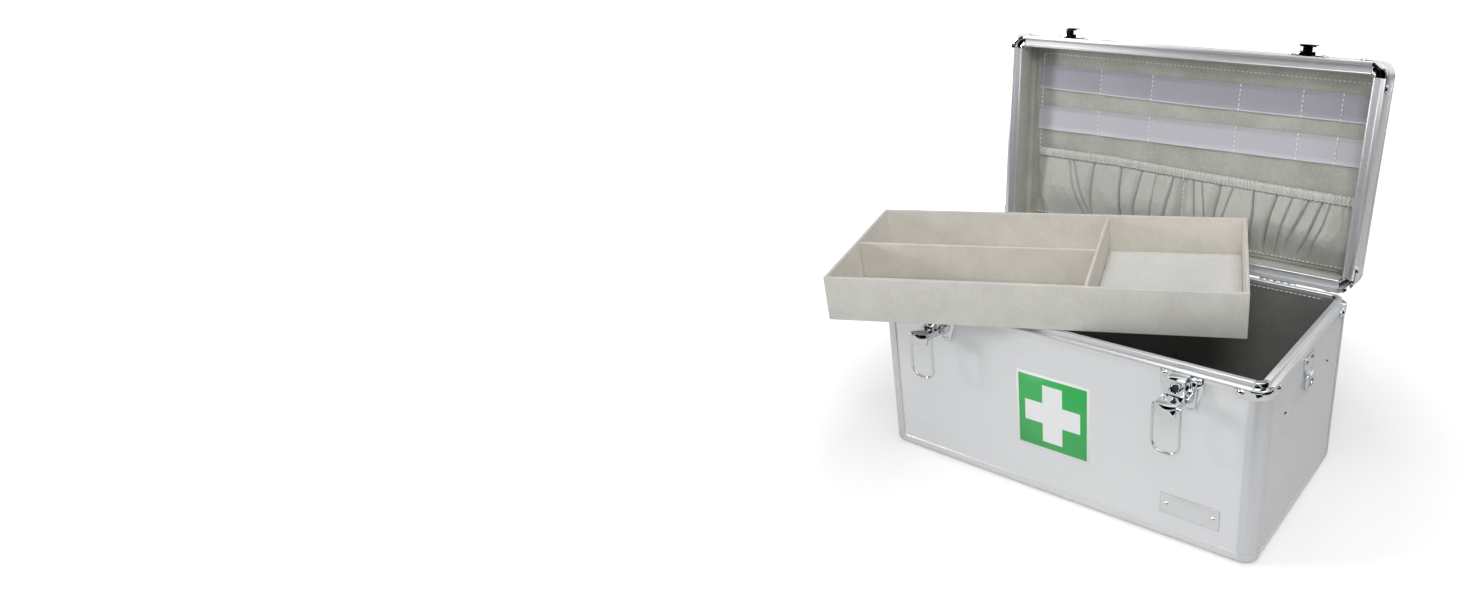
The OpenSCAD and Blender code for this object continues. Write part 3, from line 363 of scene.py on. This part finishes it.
def seam(name, start, end, body, slot, place=Matrix.Identity(4), pitch=4.6, thick=0.95):
    start, end = Vector(start) * mm, Vector(end) * mm
    count = max(2, round((end - start).length / (pitch * mm)))
    step = (end - start) / count
    bpy.ops.object.select_all(action="DESELECT")
    bpy.ops.mesh.primitive_cylinder_add(vertices=8, radius=thick / 2 * mm, depth=0.64 * step.length,
                                        location=start + step / 2,
                                        rotation=step.to_track_quat("Z", "Y").to_euler())
    stitch = bpy.context.object
    settle(stitch)
    shape_with(stitch, "BEVEL", width=0.22 * mm, segments=2, limit_method="ANGLE",
               angle_limit=math.radians(60))
    shape_with(stitch, "ARRAY", use_relative_offset=False, use_constant_offset=True,
               constant_offset_displace=step, count=count)
    settle(stitch, place)
    only(stitch)
    bpy.ops.object.shade_smooth()
    fit(stitch, name, thread, body, slot)


for name, y in (("f", -96.1), ("r", 96.1)):
    seam("rim_seam_long_" + name, (-176, y, 169.4), (176, y, 169.4), "case", "dark_lining", thick=0.9)


# Lid lining. Light grey felt-like velour: it covers the lid panel, goes down the
# walls and over the inner leg of the rim up to the ridge.
felt = pile("light_grey_velour", "#989891", "#bfbfb8", 26, 0.2)
lid_felt = lining_shell(
    wide=380.6, deep=194.6, level=202.7, round_r=4.3,
    steps=((202.1, -0.6), (200.5, -1), (197.5, -1), (187, 2.1), (173.9, 2.1)))
shape_with(lid_felt, "SOLIDIFY", thickness=0.5 * mm, offset=-1)
settle(lid_felt, on_lid)
smooth_below(lid_felt, 50)
fit(lid_felt, "lid_felt", felt, "lid", "felt", "lid_lining")


def block(low, high):
    low, high = Vector(low) * mm, Vector(high) * mm
    bpy.ops.object.select_all(action="DESELECT")
    bpy.ops.mesh.primitive_cube_add(size=1, location=(low + high) / 2)
    made = bpy.context.object
    made.scale = high - low
    bpy.ops.object.transform_apply(location=True, rotation=False, scale=True)
    return made


def soften(piece, edge, segments=3):
    shape_with(piece, "BEVEL", width=edge * mm, segments=segments, limit_method="ANGLE",
               angle_limit=math.radians(40))
    smooth_below(piece, 60)


def lid_seam(name, start, end, slot, **sizes):
    # a seam on the lid's back board; each end is x, y and its height off the board
    seam(name, *[(x, y, lid_back - out) for x, y, out in (start, end)], "lid", slot, on_lid, **sizes)


# The back is a separate board under the same velour, laid in after it is sewn.
lid_back = 201.2
back_board = block((-184.6, -94.4, lid_back), (190.2, 95.6, 202.6))
soften(back_board, 0.5)
settle(back_board, on_lid)
fit(back_board, "lid_back_board", felt, "lid", "felt")
for name, start, end in (("left", (-176, -88.6), (-176, 91)), ("right", (186, -86), (186, 91)),
                         ("top", (-176, -88.6), (186, -86))):
    lid_seam("lid_seam_" + name, (*start, 0.1), (*end, 0.1), "felt")


# Loop strips. Two rows of clear film with a lilac tint, one film in two tones: the upper
# row darker as painted shade from the lid's wall above it, the lower row lighter as painted
# light. Each is sewn down across at seven places, the outer two under the lining's own seams,
# so that it bows between them. The lower edge is folded double and looks paler.
def film_finish(name, low, high, alpha):
    # matt film: a haze of fine scuffs, and the velour behind it shows through
    finish, tree, shader, place = new_finish(name, low, 0, 0.45)
    haze = noise(tree, place, 900, 3, 0.7)
    two_tone(tree, shader, low, high, haze)
    uneven_gloss(tree, shader, 0.38, 0.55, haze)
    shader.inputs["Alpha"].default_value = alpha
    return finish


def flat_cloth(across, down):
    # a grid, and how far each of its points is across and down it, from 0 to 1
    bpy.ops.object.select_all(action="DESELECT")
    bpy.ops.mesh.primitive_grid_add(x_subdivisions=across, y_subdivisions=down, size=1)
    cloth = bpy.context.object
    co = np.array([point.co for point in cloth.data.vertices])
    return cloth, co[:, 0] + 0.5, co[:, 1] + 0.5


def lay_on_back(cloth, x, y, lift, thick):
    # lays the grid on the lid's back board, raised by lift, and gives it thickness
    cloth.data.vertices.foreach_set("co", (np.column_stack([x, y, lid_back - lift]) * mm).ravel())
    settle(cloth, on_lid)
    shape_with(cloth, "SOLIDIFY", thickness=thick * mm, offset=0)


def strip_middle(x, heights):
    return np.interp(x, (-180, 0, 188), heights)


# the same film in two tones: painted shade on the upper row, painted light on the lower
clear_film = film_finish("clear_lilac_film", "#8d8c97", "#bab9c4", 0.92)
lit_film = film_finish("clear_lilac_film_lit", "#adacb5", "#d6d5de", 0.92)
doubled_film = film_finish("lilac_film_hem", "#bebdc7", "#d0cfd8", 0.96)
strip_long, strip_half, strip_mid = 366, 13, 3.5
sewn_at = (-175.5, -102, -40.9, 55.8, 119.5, 157.8, 186.2)
for row, heights, row_film, nodes in (
        ("upper", (-63.7, -61.9, -62.1), clear_film, ("loop_strips",)),
        ("lower", (-18.6, -20, -21.3), lit_film, ())):
    strip, u, v = flat_cloth(182, 10)
    x, v = (u - 0.5) * strip_long + strip_mid, (v - 0.5) * 2
    # the outer ring of points moves to the edge of the fold
    v = np.sign(v) * np.interp(abs(v), (0, 0.6, 0.8, 1), (0, 0.84, 0.89, 1))
    loop_of = np.clip(np.searchsorted(sewn_at, x, side="right") - 1, 0, 5)
    x_in = np.clip(x, sewn_at[0], sewn_at[-1])
    lows, highs = np.array(sewn_at)[loop_of], np.array(sewn_at)[loop_of + 1]
    bow = np.abs(np.sin(np.pi * (x_in - lows) / (highs - lows))) ** 0.7 * np.minimum(1, (highs - lows) / 55)
    lift = 0.3 + 1.5 * bow + 0.5 * (abs(v) > 0.86)
    lay_on_back(strip, x, strip_middle(x, heights) + strip_half * v, lift, 0.35)
    smooth_below(strip, 40)
    fit(strip, "loop_strip_" + row, row_film, "lid", "clear_strip", *nodes)
    strip.data.materials.append(doubled_film)
    for face in strip.data.polygons:
        centre = on_lid.inverted() @ face.center / mm
        face.material_index = int(centre.y - strip_middle(centre.x, heights) > strip_half - 1)
    for k, at in enumerate(sewn_at[1:-1]):
        y = strip_middle(at, heights)
        lid_seam(f"strip_seam_{row}_{k}", (at, y - 14, 0.9), (at, y + 14, 0.9), "felt", thick=1.3)


# Gathered pocket. One piece of light woven cloth, drawn in at its mouth, sewn down
# at its ends, its foot and at one place in the middle, with pleats that fan out.
# Taffeta: a fine weave and soft creases from folding, which give a faint sheen.
pocket_cloth, tree, shader, place = new_finish("light_grey_taffeta", "#babab4", 0, 0.75)
crease = noise(tree, place, 70, 5, 0.6)
weave = noise(tree, place, 2600, 1)
two_tone(tree, shader, "#a8a8a2", "#bdbdb8", weave)
fine = add(tree, "ShaderNodeBump", {"Strength": 0.25, "Distance": 0.00015}, {"Height": weave})
relief = add(tree, "ShaderNodeBump", {"Strength": 0.8, "Distance": 0.0022},
             {"Height": crease, "Normal": (fine, 0)})
tree.links.new(relief.outputs["Normal"], shader.inputs["Normal"])
shader.inputs["Sheen Weight"].default_value = 0.15

# Each pleat: its place at the mouth and at the foot, as a share of the width, its
# depth, the width of its sloping side and the side on which that lies.
pleats = ((0.104, 0.185, 2.2, 2.6, 1), (0.12, 0.206, 2.6, 2.6, 1), (0.211, 0.209, 6.5, 3.4, -1),
          (0.293, 0.314, 3.4, 4, 1), (0.366, 0.357, 6.5, 3.4, -1), (0.415, 0.402, 1.6, 4, 1),
          (0.469, 0.44, 3, 4, 1), (0.529, 0.568, 3, 3.4, -1), (0.552, 0.606, 3.4, 3, -1),
          (0.616, 0.61, 5.4, 3.6, -1), (0.656, 0.622, 2.4, 3.4, 1), (0.718, 0.718, 4.6, 3.2, 1),
          (0.787, 0.757, 6.5, 3.6, -1), (0.832, 0.79, 3, 4, 1), (0.877, 0.811, 3.4, 4.4, 1),
          (0.914, 0.853, 3.4, 4.4, 1), (0.941, 0.888, 2.6, 4, 1))
pocket_w, pocket_mid, tack_u = 362, 5, 0.503
# how high the cloth lies at least and under the band, and how much of it the band hides
lying, band_room, under_band = 0.45, 1.2, 0.12


def mouth_at(u):
    # the band was sewn on a little askew, and so was the foot
    return np.interp(u, (0, 0.27, 0.51, 0.77, 1), (14.5, 13.9, 16.4, 18.5, 20.2))


def foot_at(u):
    return 90.4 + 1.8 * u


def smooth_noise(values, seed):
    steps = random.Random(seed)
    knots = np.array([steps.uniform(-1, 1) for k in range(400)])
    low = np.floor(values).astype(int)
    t = values - low
    t = t * t * (3 - 2 * t)
    return knots[low % 400] * (1 - t) + knots[(low + 1) % 400] * t


# The cloth's height: a soft belly with waves, then the pleats, the tack, fine
# puckers from the band, and last the part that is drawn flat under the band.
pocket, u, v = flat_cloth(680, 60)
x = (u - 0.5) * pocket_w
ends = np.clip(np.minimum(u, 1 - u) / 0.07, 0, 1) ** 0.8
foot = np.sin(np.clip((1 - v) / 0.4, 0, 1) * np.pi / 2) ** 0.9
creases = np.zeros(len(u))
lift = 4.2 + 6 * np.sin(np.pi * np.clip(v * 0.9 + 0.06, 0, 1))
lift += 2.2 * smooth_noise(u * 26 + v * (8 * u - 5), 12) * np.sin(np.pi * np.clip(v, 0, 1)) ** 0.5
lift += 1.6 * smooth_noise(u * 9 + v * 1.5, 1) * np.sin(np.pi * v)
for top_u, low_u, depth, wide, side in pleats:
    line = (top_u + (low_u - top_u) * v) * pocket_w + 1.6 * smooth_noise(v * 3 + top_u * 90, 2)
    aside = (x + pocket_w / 2) - line
    d = aside * side / wide
    fall = np.where(d > 0, np.exp(-d), np.exp(-(d / 0.16) ** 2))
    lift -= 1.5 * depth * fall * np.clip(1.15 - 0.55 * v, 0, 1)
    creases = np.maximum(creases, np.exp(-(aside / 0.75) ** 2) * min(1, depth / 3.4))
d = (u - tack_u) * pocket_w
lift -= (lift - 0.8) * np.exp(-(d / 5.5) ** 2)
fanned = u + (0.5 - u) * 0.05 * v + 0.012 * v * smooth_noise(u * 14, 9)
pucker = 1.5 * np.exp(-np.clip(v - 0.1, 0, 1) / 0.2) * smooth_noise(fanned * 90, 3)
lift += pucker + 0.35 * smooth_noise(u * 90 + v * 6, 5) * smooth_noise(v * 9 + u * 4, 6)
lift = np.clip(lift, 0.25, 11.4) * ends * foot
bulge = 0.35 + 0.65 * np.clip((v - under_band) / 0.4, 0, 1) ** 0.8
free = np.clip((v - under_band) / 0.02, 0, 1)
drawn = band_room + (lift - band_room) * bulge * free
lift = lying + np.where(v < under_band, np.minimum(lift, band_room), drawn)
below = np.clip((v - under_band) / 0.03, 0, 1)
lift -= 2.4 * creases * below * (1.1 - 0.55 * v)
lift += below * np.exp(-np.clip(v - under_band, 0, 1) / 0.14) * 1.3 * smooth_noise(fanned * 120, 21)
y = mouth_at(u) + 0.8 + v * (foot_at(u) - mouth_at(u) - 0.8)
lay_on_back(pocket, x + pocket_mid, y, np.maximum(lift, lying), 0.4)
only(pocket)
bpy.ops.object.shade_smooth()
fit(pocket, "gathered_pocket", pocket_cloth, "lid", "pocket_cloth", "lid_pocket")

# Elastic band at the pocket's mouth: cased in the same cloth, which it draws into
# tight ruffles, with two rows of stitches. Its cloth is given a lighter tone as painted light.
band_h, ruffles = 9.3, 90
rows_at = (("upper", 0.2), ("lower", 0.8))
band, u, v = flat_cloth(1100, 14)
x = (u - 0.5) * pocket_w
gather = u * ruffles + 0.35 * smooth_noise(u * 60, 7)
ruffle = np.sin(2 * np.pi * (gather + 0.12 * smooth_noise(v * 5 + u * 30, 8)))
sewn = sum(np.exp(-((v - down) / 0.07) ** 2) for row, down in rows_at)
lift = 3.9 + ruffle * (0.8 - 0.3 * sewn) - 0.5 * sewn - 1.1 * abs(2 * v - 1) ** 5
lift = 0.6 + lift * np.clip(np.minimum(u, 1 - u) / 0.012, 0, 1) ** 0.5
frill = 0.3 * np.sin(2 * np.pi * gather + 1) * np.where(v < 0.5, -1, 1) * (abs(2 * v - 1) ** 3)
lay_on_back(band, x + pocket_mid, mouth_at(u) + band_h * v + frill, lift, 0.4)
only(band)
bpy.ops.object.shade_smooth()
# the pocket's cloth in a lighter tone: painted light on the band's ruffles
lit_band_cloth = toned_copy(pocket_cloth, "light_grey_taffeta_band", "#bcbcb7", "#d0d0cc")
fit(band, "elastic_band", lit_band_cloth, "lid", "pocket_cloth")

# Its stitches, and the pocket's own: the tack in the middle and the row at the foot.
bends = (0.012, 0.27, 0.51, 0.77, 0.988)
for row, down in rows_at:
    for k in range(4):
        ends = [((u - 0.5) * pocket_w + pocket_mid, mouth_at(u) + band_h * down, 4.1)
                for u in bends[k:k + 2]]
        lid_seam(f"band_seam_{row}_{k}", *ends, "pocket_cloth", pitch=4, thick=0.7)
tack_x = (tack_u - 0.5) * pocket_w + pocket_mid
tack_y, tack_foot = mouth_at(tack_u), foot_at(tack_u)
lid_seam("pocket_tack", (tack_x, tack_y - 1, 5.2), (tack_x, tack_y + 12, 5.2), "pocket_cloth", pitch=3.4)
lid_seam("pocket_tack_low", (tack_x, tack_y + 14, 1.7), (tack_x, tack_foot - 2, 1.3), "pocket_cloth")
lid_seam("pocket_foot_seam", (-175, foot_at(0) - 1.2, 1), (185.5, foot_at(1) - 1.2, 1), "pocket_cloth")


# Tray. An open box of thin board with one long and one cross divider, all covered
# in light velour before it is put together, with a felt pad in each compartment.
# It lies askew on the front rim and on the open lid's ridge, tilted about the rim.
rim_y, rim_z, tray_tilt = -0.1028, 0.1753, math.radians(2.54993)
tray_x, tray_y, tray_turn = -0.0535, -0.0297, math.radians(22.5)
on_mouth = (Matrix.Translation((0, rim_y, rim_z)) @ Matrix.Rotation(tray_tilt, 4, "X")
            @ Matrix.Translation((tray_x, tray_y - rim_y, 0)) @ Matrix.Rotation(tray_turn, 4, "Z"))
tray_velour = pile("warm_grey_velour", "#b9b8b2", "#cfcec8", 40, 0.2)
inner_velour = pile("pale_warm_velour", "#c1bcb3", "#d6d1c8", 40, 0.2)
pad_felt = pile("pale_neutral_felt", "#c6c6c3", "#dadad7", 40, 0.2)
half_w, half_d, tray_h, board = 189, 88, 43, 3.2
tray_floor, divider_top, pad_top, pad_gap, cross_x = 3, 41, 4.5, 0.3, 50
in_w, in_d = half_w - board, half_d - board
cross_left, cross_right = cross_x - board / 2, cross_x + board / 2


def pick_faces(piece, test):
    # selects in edit mode the faces whose centre and normal pass the test
    bpy.ops.mesh.select_mode(type="FACE")
    bpy.ops.mesh.select_all(action="DESELECT")
    bpy.ops.object.mode_set(mode="OBJECT")
    for face in piece.data.polygons:
        face.select = test(face.center / mm, face.normal)
    bpy.ops.object.mode_set(mode="EDIT")


def is_inside(centre):
    return abs(centre.x) < in_w + 0.5 and abs(centre.y) < in_d + 0.5 and centre.z > tray_floor - 1


tray = block((-half_w, -half_d, 0), (half_w, half_d, tray_h))
bpy.ops.object.mode_set(mode="EDIT")
pick_faces(tray, lambda centre, normal: normal.z > 0.9)
bpy.ops.mesh.inset(thickness=board * mm)
bpy.ops.mesh.extrude_region_move(TRANSFORM_OT_translate={"value": (0, 0, (tray_floor - tray_h) * mm)})
bpy.ops.object.mode_set(mode="OBJECT")
soften(tray, 0.8)
inside = [is_inside(face.center / mm) for face in tray.data.polygons]
settle(tray, on_mouth)
fit(tray, "tray_box", tray_velour, "tray", "velour_board", "tray_shell")
tray.data.materials.append(inner_velour)
tray.data.polygons.foreach_set("material_index", np.array(inside, dtype=np.int32))
for name, low, high, nodes in (
        ("cross", (cross_left, -in_d, tray_floor), (cross_right, in_d, divider_top), ("tray_dividers",)),
        ("long", (-in_w, -board / 2, tray_floor), (cross_left, board / 2, divider_top), ())):
    divider = block(low, high)
    soften(divider, 0.8)
    settle(divider, on_mouth)
    fit(divider, "tray_divider_" + name, inner_velour, "tray", "velour_board", *nodes)

# Each pad has a line pressed in 2.6 mm from its edge.
for name, (left, right), (front, rear), nodes in (
        ("right", (cross_right, in_w), (-in_d, in_d), ("tray_pads",)),
        ("rear", (-in_w, cross_left), (board / 2, in_d), ()),
        ("front", (-in_w, cross_left), (-in_d, -board / 2), ())):
    low = (left + pad_gap, front + pad_gap, tray_floor + pad_gap)
    high = (right - pad_gap, rear - pad_gap, pad_top)
    pad = block(low, high)
    bpy.ops.object.mode_set(mode="EDIT")
    pick_faces(pad, lambda centre, normal: normal.z > 0.9)
    bpy.ops.mesh.inset(thickness=2.6 * mm)
    bpy.ops.mesh.inset(thickness=0.5 * mm, depth=0.5 * mm)
    bpy.ops.mesh.inset(thickness=0.5 * mm, depth=-0.6 * mm)
    bpy.ops.object.mode_set(mode="OBJECT")
    soften(pad, 0.2, 2)
    settle(pad, on_mouth)
    fit(pad, "tray_pad_" + name, pad_felt, "tray", "felt", *nodes)


# First-aid sign. A square of green vinyl with a white cross, on a white backing
# that shows as a narrow border. It is stuck to the front panel.
def vinyl(name, low, high):
    # half glossy, with the faint unevenness of film that was stuck on by hand
    finish, tree, shader, place = new_finish(name, low, 0, 0.35)
    peel = noise(tree, place, 420, 2)
    two_tone(tree, shader, low, high, peel)
    fine_relief(tree, shader, 0.08, 0.0001, peel)
    return finish


sign_green = vinyl("green_sign_vinyl", "#33a852", "#39ad58")
sign_white = vinyl("white_sign_vinyl", "#e0e1e3", "#e8e9ea")
panel_y, sign_x, sign_z = -106, -0.3, 88.8
into_panel, arm_long, arm_half = 0.02, 29.75, 10.65
for name, half, out, finish in (
        ("sign_backing", 39.55, 0.16, sign_white), ("sign_field", 36.75, 0.24, sign_green)):
    sheet = block((sign_x - half, panel_y - out, sign_z - half),
                  (sign_x + half, panel_y + into_panel, sign_z + half))
    soften(sheet, 0.05, 1)
    fit(sheet, name, finish, "case", "faced_board")


def arm_line(t):
    # a grid of three cells each way: its outer lines are the arms' ends
    return np.sign(t) * np.where(abs(t) > 0.3, arm_long, arm_half)


bpy.ops.object.select_all(action="DESELECT")
bpy.ops.mesh.primitive_grid_add(x_subdivisions=3, y_subdivisions=3, size=1,
                                rotation=(math.radians(90), 0, 0))
cross = bpy.context.object
settle(cross)
co = np.array([point.co for point in cross.data.vertices])
out = np.column_stack([sign_x + arm_line(co[:, 0]), np.full(len(co), panel_y - 0.22),
                       sign_z + arm_line(co[:, 2])])
cross.data.vertices.foreach_set("co", (out * mm).ravel())
only(cross)
bpy.ops.object.mode_set(mode="EDIT")
pick_faces(cross, lambda centre, normal: min(abs(centre.x - sign_x), abs(centre.z - sign_z)) > arm_half)
bpy.ops.mesh.delete(type="FACE")
bpy.ops.object.mode_set(mode="OBJECT")
outwards = 1 if cross.data.polygons[0].normal.y < 0 else -1
shape_with(cross, "SOLIDIFY", thickness=0.1 * mm, offset=outwards)
fit(cross, "sign_cross", sign_white, "case", "faced_board")


# Catch folds. Each lid catch is folded from a strip as wide as its hook, notched at
# both sides between the hook and the plate to leave room for the bail's round end.
hook_half, fold_low, fold_high = 7.7, 170.3, 171.2
for name, x in latches:
    for part, low_y, high_y in (("hook", -117.4, -115.4), ("foot", -111.9, -107.3)):
        fold = block((x - hook_half, low_y, fold_low), (x + hook_half, high_y, fold_high))
        soften(fold, 0.3)
        settle(fold, on_lid)
        fit(fold, f"catch_{part}_fold_{name}", chrome, "lid", "chromed")


# Name plate, left bare. A small plate of brushed aluminium with bevelled edges, on
# a thin backing that shows round it, held by two small domed rivets. Its brushing
# gives it one soft, broad glint.
plate_metal, tree, shader, place = new_finish("brushed_plate", "#bcbec1", 0.85, 0.36)
along = add(tree, "ShaderNodeMapping", {"Scale": (40, 40, 2600)}, {"Vector": place})
two_tone(tree, shader, "#d6d7d9", "#e8e9eb", noise(tree, (along, "Vector"), 1, 2))
plate_left, plate_right, plate_low, plate_high, backing_edge = 111.5, 167, 26.3, 46.7, 0.35
plate = block((plate_left, panel_y - 0.6, plate_low), (plate_right, panel_y + into_panel, plate_high))
soften(plate, 0.3, 2)
fit(plate, "name_plate", plate_metal, "case", "profile")
gasket = block((plate_left - backing_edge, panel_y - 0.25, plate_low - backing_edge),
               (plate_right + backing_edge, panel_y + into_panel, plate_high + backing_edge))
fit(gasket, "name_plate_gasket", steel, "case", "steel")
for name, x in (("l", 117.2), ("r", 161.3)):
    bpy.ops.object.select_all(action="DESELECT")
    bpy.ops.mesh.primitive_uv_sphere_add(segments=28, ring_count=14, radius=2.9 * mm,
                                         location=(x * mm, (panel_y + 1.3) * mm, 36.5 * mm))
    rivet = bpy.context.object
    settle(rivet)
    only(rivet)
    bpy.ops.object.mode_set(mode="EDIT")
    bpy.ops.mesh.select_all(action="SELECT")
    bpy.ops.mesh.bisect(plane_co=(0, (panel_y - 0.4) * mm, 0), plane_no=(0, -1, 0),
                        clear_inner=True, use_fill=True)
    bpy.ops.object.mode_set(mode="OBJECT")
    smooth_below(rivet, 40)
    fit(rivet, "plate_rivet_" + name, chrome, "case", "chromed")


# Floor: a plain pale sheet that runs out of view. It keeps the case's soft shadow,
# and what it sends to the camera makes its open parts plain white.
bpy.ops.object.select_all(action="DESELECT")
bpy.ops.mesh.primitive_plane_add(size=14, location=(0, 0, -0.0003))
floor = bpy.context.object
floor.name = "studio_floor"
floor_paint, tree, shader, place = new_finish("pale_floor", "#dededd", 0, 0.9)
shader.inputs["Specular IOR Level"].default_value = 0
seen = add(tree, "ShaderNodeLightPath")
reach = add(tree, "ShaderNodeVectorMath", {}, {0: place}, operation="LENGTH")
lift = add(tree, "ShaderNodeMapRange", {"From Min": 0.28, "From Max": 0.8, "To Min": 0.28, "To Max": 1},
           {"Value": (reach, "Value")})
glow = add(tree, "ShaderNodeMath", {}, {0: (seen, "Is Camera Ray"), 1: (lift, "Result")},
           operation="MULTIPLY")
shader.inputs["Emission Color"].default_value = (1, 1, 1, 1)
tree.links.new(glow.outputs[0], shader.inputs["Emission Strength"])
floor.data.materials.append(floor_paint)

# Studio light: a soft lamp to the left of the camera, one above it, one overhead
# and a weak one to the right, in an even pale room. The room shows as plain white
# behind the case and in the metal.
aim = Vector((0, 0, 0.15))
for name, stands, size, power in (
        ("left_softbox", (-1.85, -1.45, 0.75), 0.42, 20), ("front_softbox", (0.75, -1.35, 1.6), 0.8, 14),
        ("top_softbox", (0.1, -0.2, 2.2), 1.5, 17.5), ("right_fill", (1.6, -0.7, 0.9), 0.9, 6)):
    lamp_data = bpy.data.lights.new(name, "AREA")
    lamp_data.size = size
    lamp_data.energy = power
    lamp = bpy.data.objects.new(name, lamp_data)
    lamp.location = stands
    lamp.rotation_euler = (Vector(stands) - aim).to_track_quat("Z", "Y").to_euler()
    bpy.context.scene.collection.objects.link(lamp)
room = bpy.data.worlds.new("pale_room")
room.use_nodes = True
tree = room.node_tree
tree.nodes.clear()
seen = add(tree, "ShaderNodeLightPath")
either = add(tree, "ShaderNodeMath", {}, {0: (seen, "Is Camera Ray"), 1: (seen, "Is Glossy Ray")},
             operation="MAXIMUM")
any_of = add(tree, "ShaderNodeMath", {}, {0: (either, 0), 1: (seen, "Is Transmission Ray")},
             operation="MAXIMUM")
level = add(tree, "ShaderNodeMapRange", {"To Min": 0.265, "To Max": 1}, {"Value": (any_of, 0)})
air = add(tree, "ShaderNodeBackground", {"Color": (1, 1, 1, 1)}, {"Strength": (level, "Result")})
add(tree, "ShaderNodeOutputWorld", {}, {"Surface": (air, 0)})
bpy.context.scene.world = room

# Black cloth round the white table, as a studio hangs it for chrome: only metal
# and gloss see it, so that polished parts have dark lines next to bright ones.
# Each piece is given by its middle, its two sides and how it is turned.
cloth_black, tree, shader, place = new_finish("black_cloth", "#050505", 0, 1)
shader.inputs["Specular IOR Level"].default_value = 0
for k, (middle, wide, long, turn) in enumerate((
        ((0, -1.65, 0.002), 4, 1.7, (0, 0)), ((1.35, 0, 0.003), 1.5, 1.3, (0, 0)),
        ((-1.4, 0, 0.003), 1.3, 1.3, (0, 0)), ((0.4, -0.46, 0.004), 0.28, 0.3, (0, 0)),
        ((0, -2.3, 0.6), 4, 1.2, (90, 0)), ((2.1, -0.5, 0.7), 3, 1.4, (90, 90)),
        ((-2.1, -0.5, 0.5), 3, 1, (90, 90)), ((-0.75, -0.2, 1.7), 0.6, 2, (0, 0)),
        ((1.1, -0.2, 1.7), 0.8, 2, (0, 0)))):
    bpy.ops.object.select_all(action="DESELECT")
    bpy.ops.mesh.primitive_plane_add(size=1, location=middle,
                                     rotation=[math.radians(a) for a in (turn[0], 0, turn[1])])
    cloth = bpy.context.object
    cloth.name = f"black_cloth_{k}"
    cloth.scale = (wide, long, 1)
    cloth.visible_camera = cloth.visible_diffuse = cloth.visible_shadow = cloth.visible_transmission = False
    cloth.data.materials.append(cloth_black)

# Camera, at the place from which the photograph was taken.
view = bpy.data.cameras.new("photo_view")
view.lens = 23.27
view.shift_x, view.shift_y = -0.2059, 0.0072
view.clip_start = 0.05
camera = bpy.data.objects.new("photo_view", view)
camera.location = (0.4057, -0.7404, 0.5360)
camera.rotation_euler = [math.radians(a) for a in (65.687, 1.188, 33.241)]
bpy.context.scene.collection.objects.link(camera)
bpy.context.scene.camera = camera
bpy.context.scene.view_settings.view_transform = "Standard"
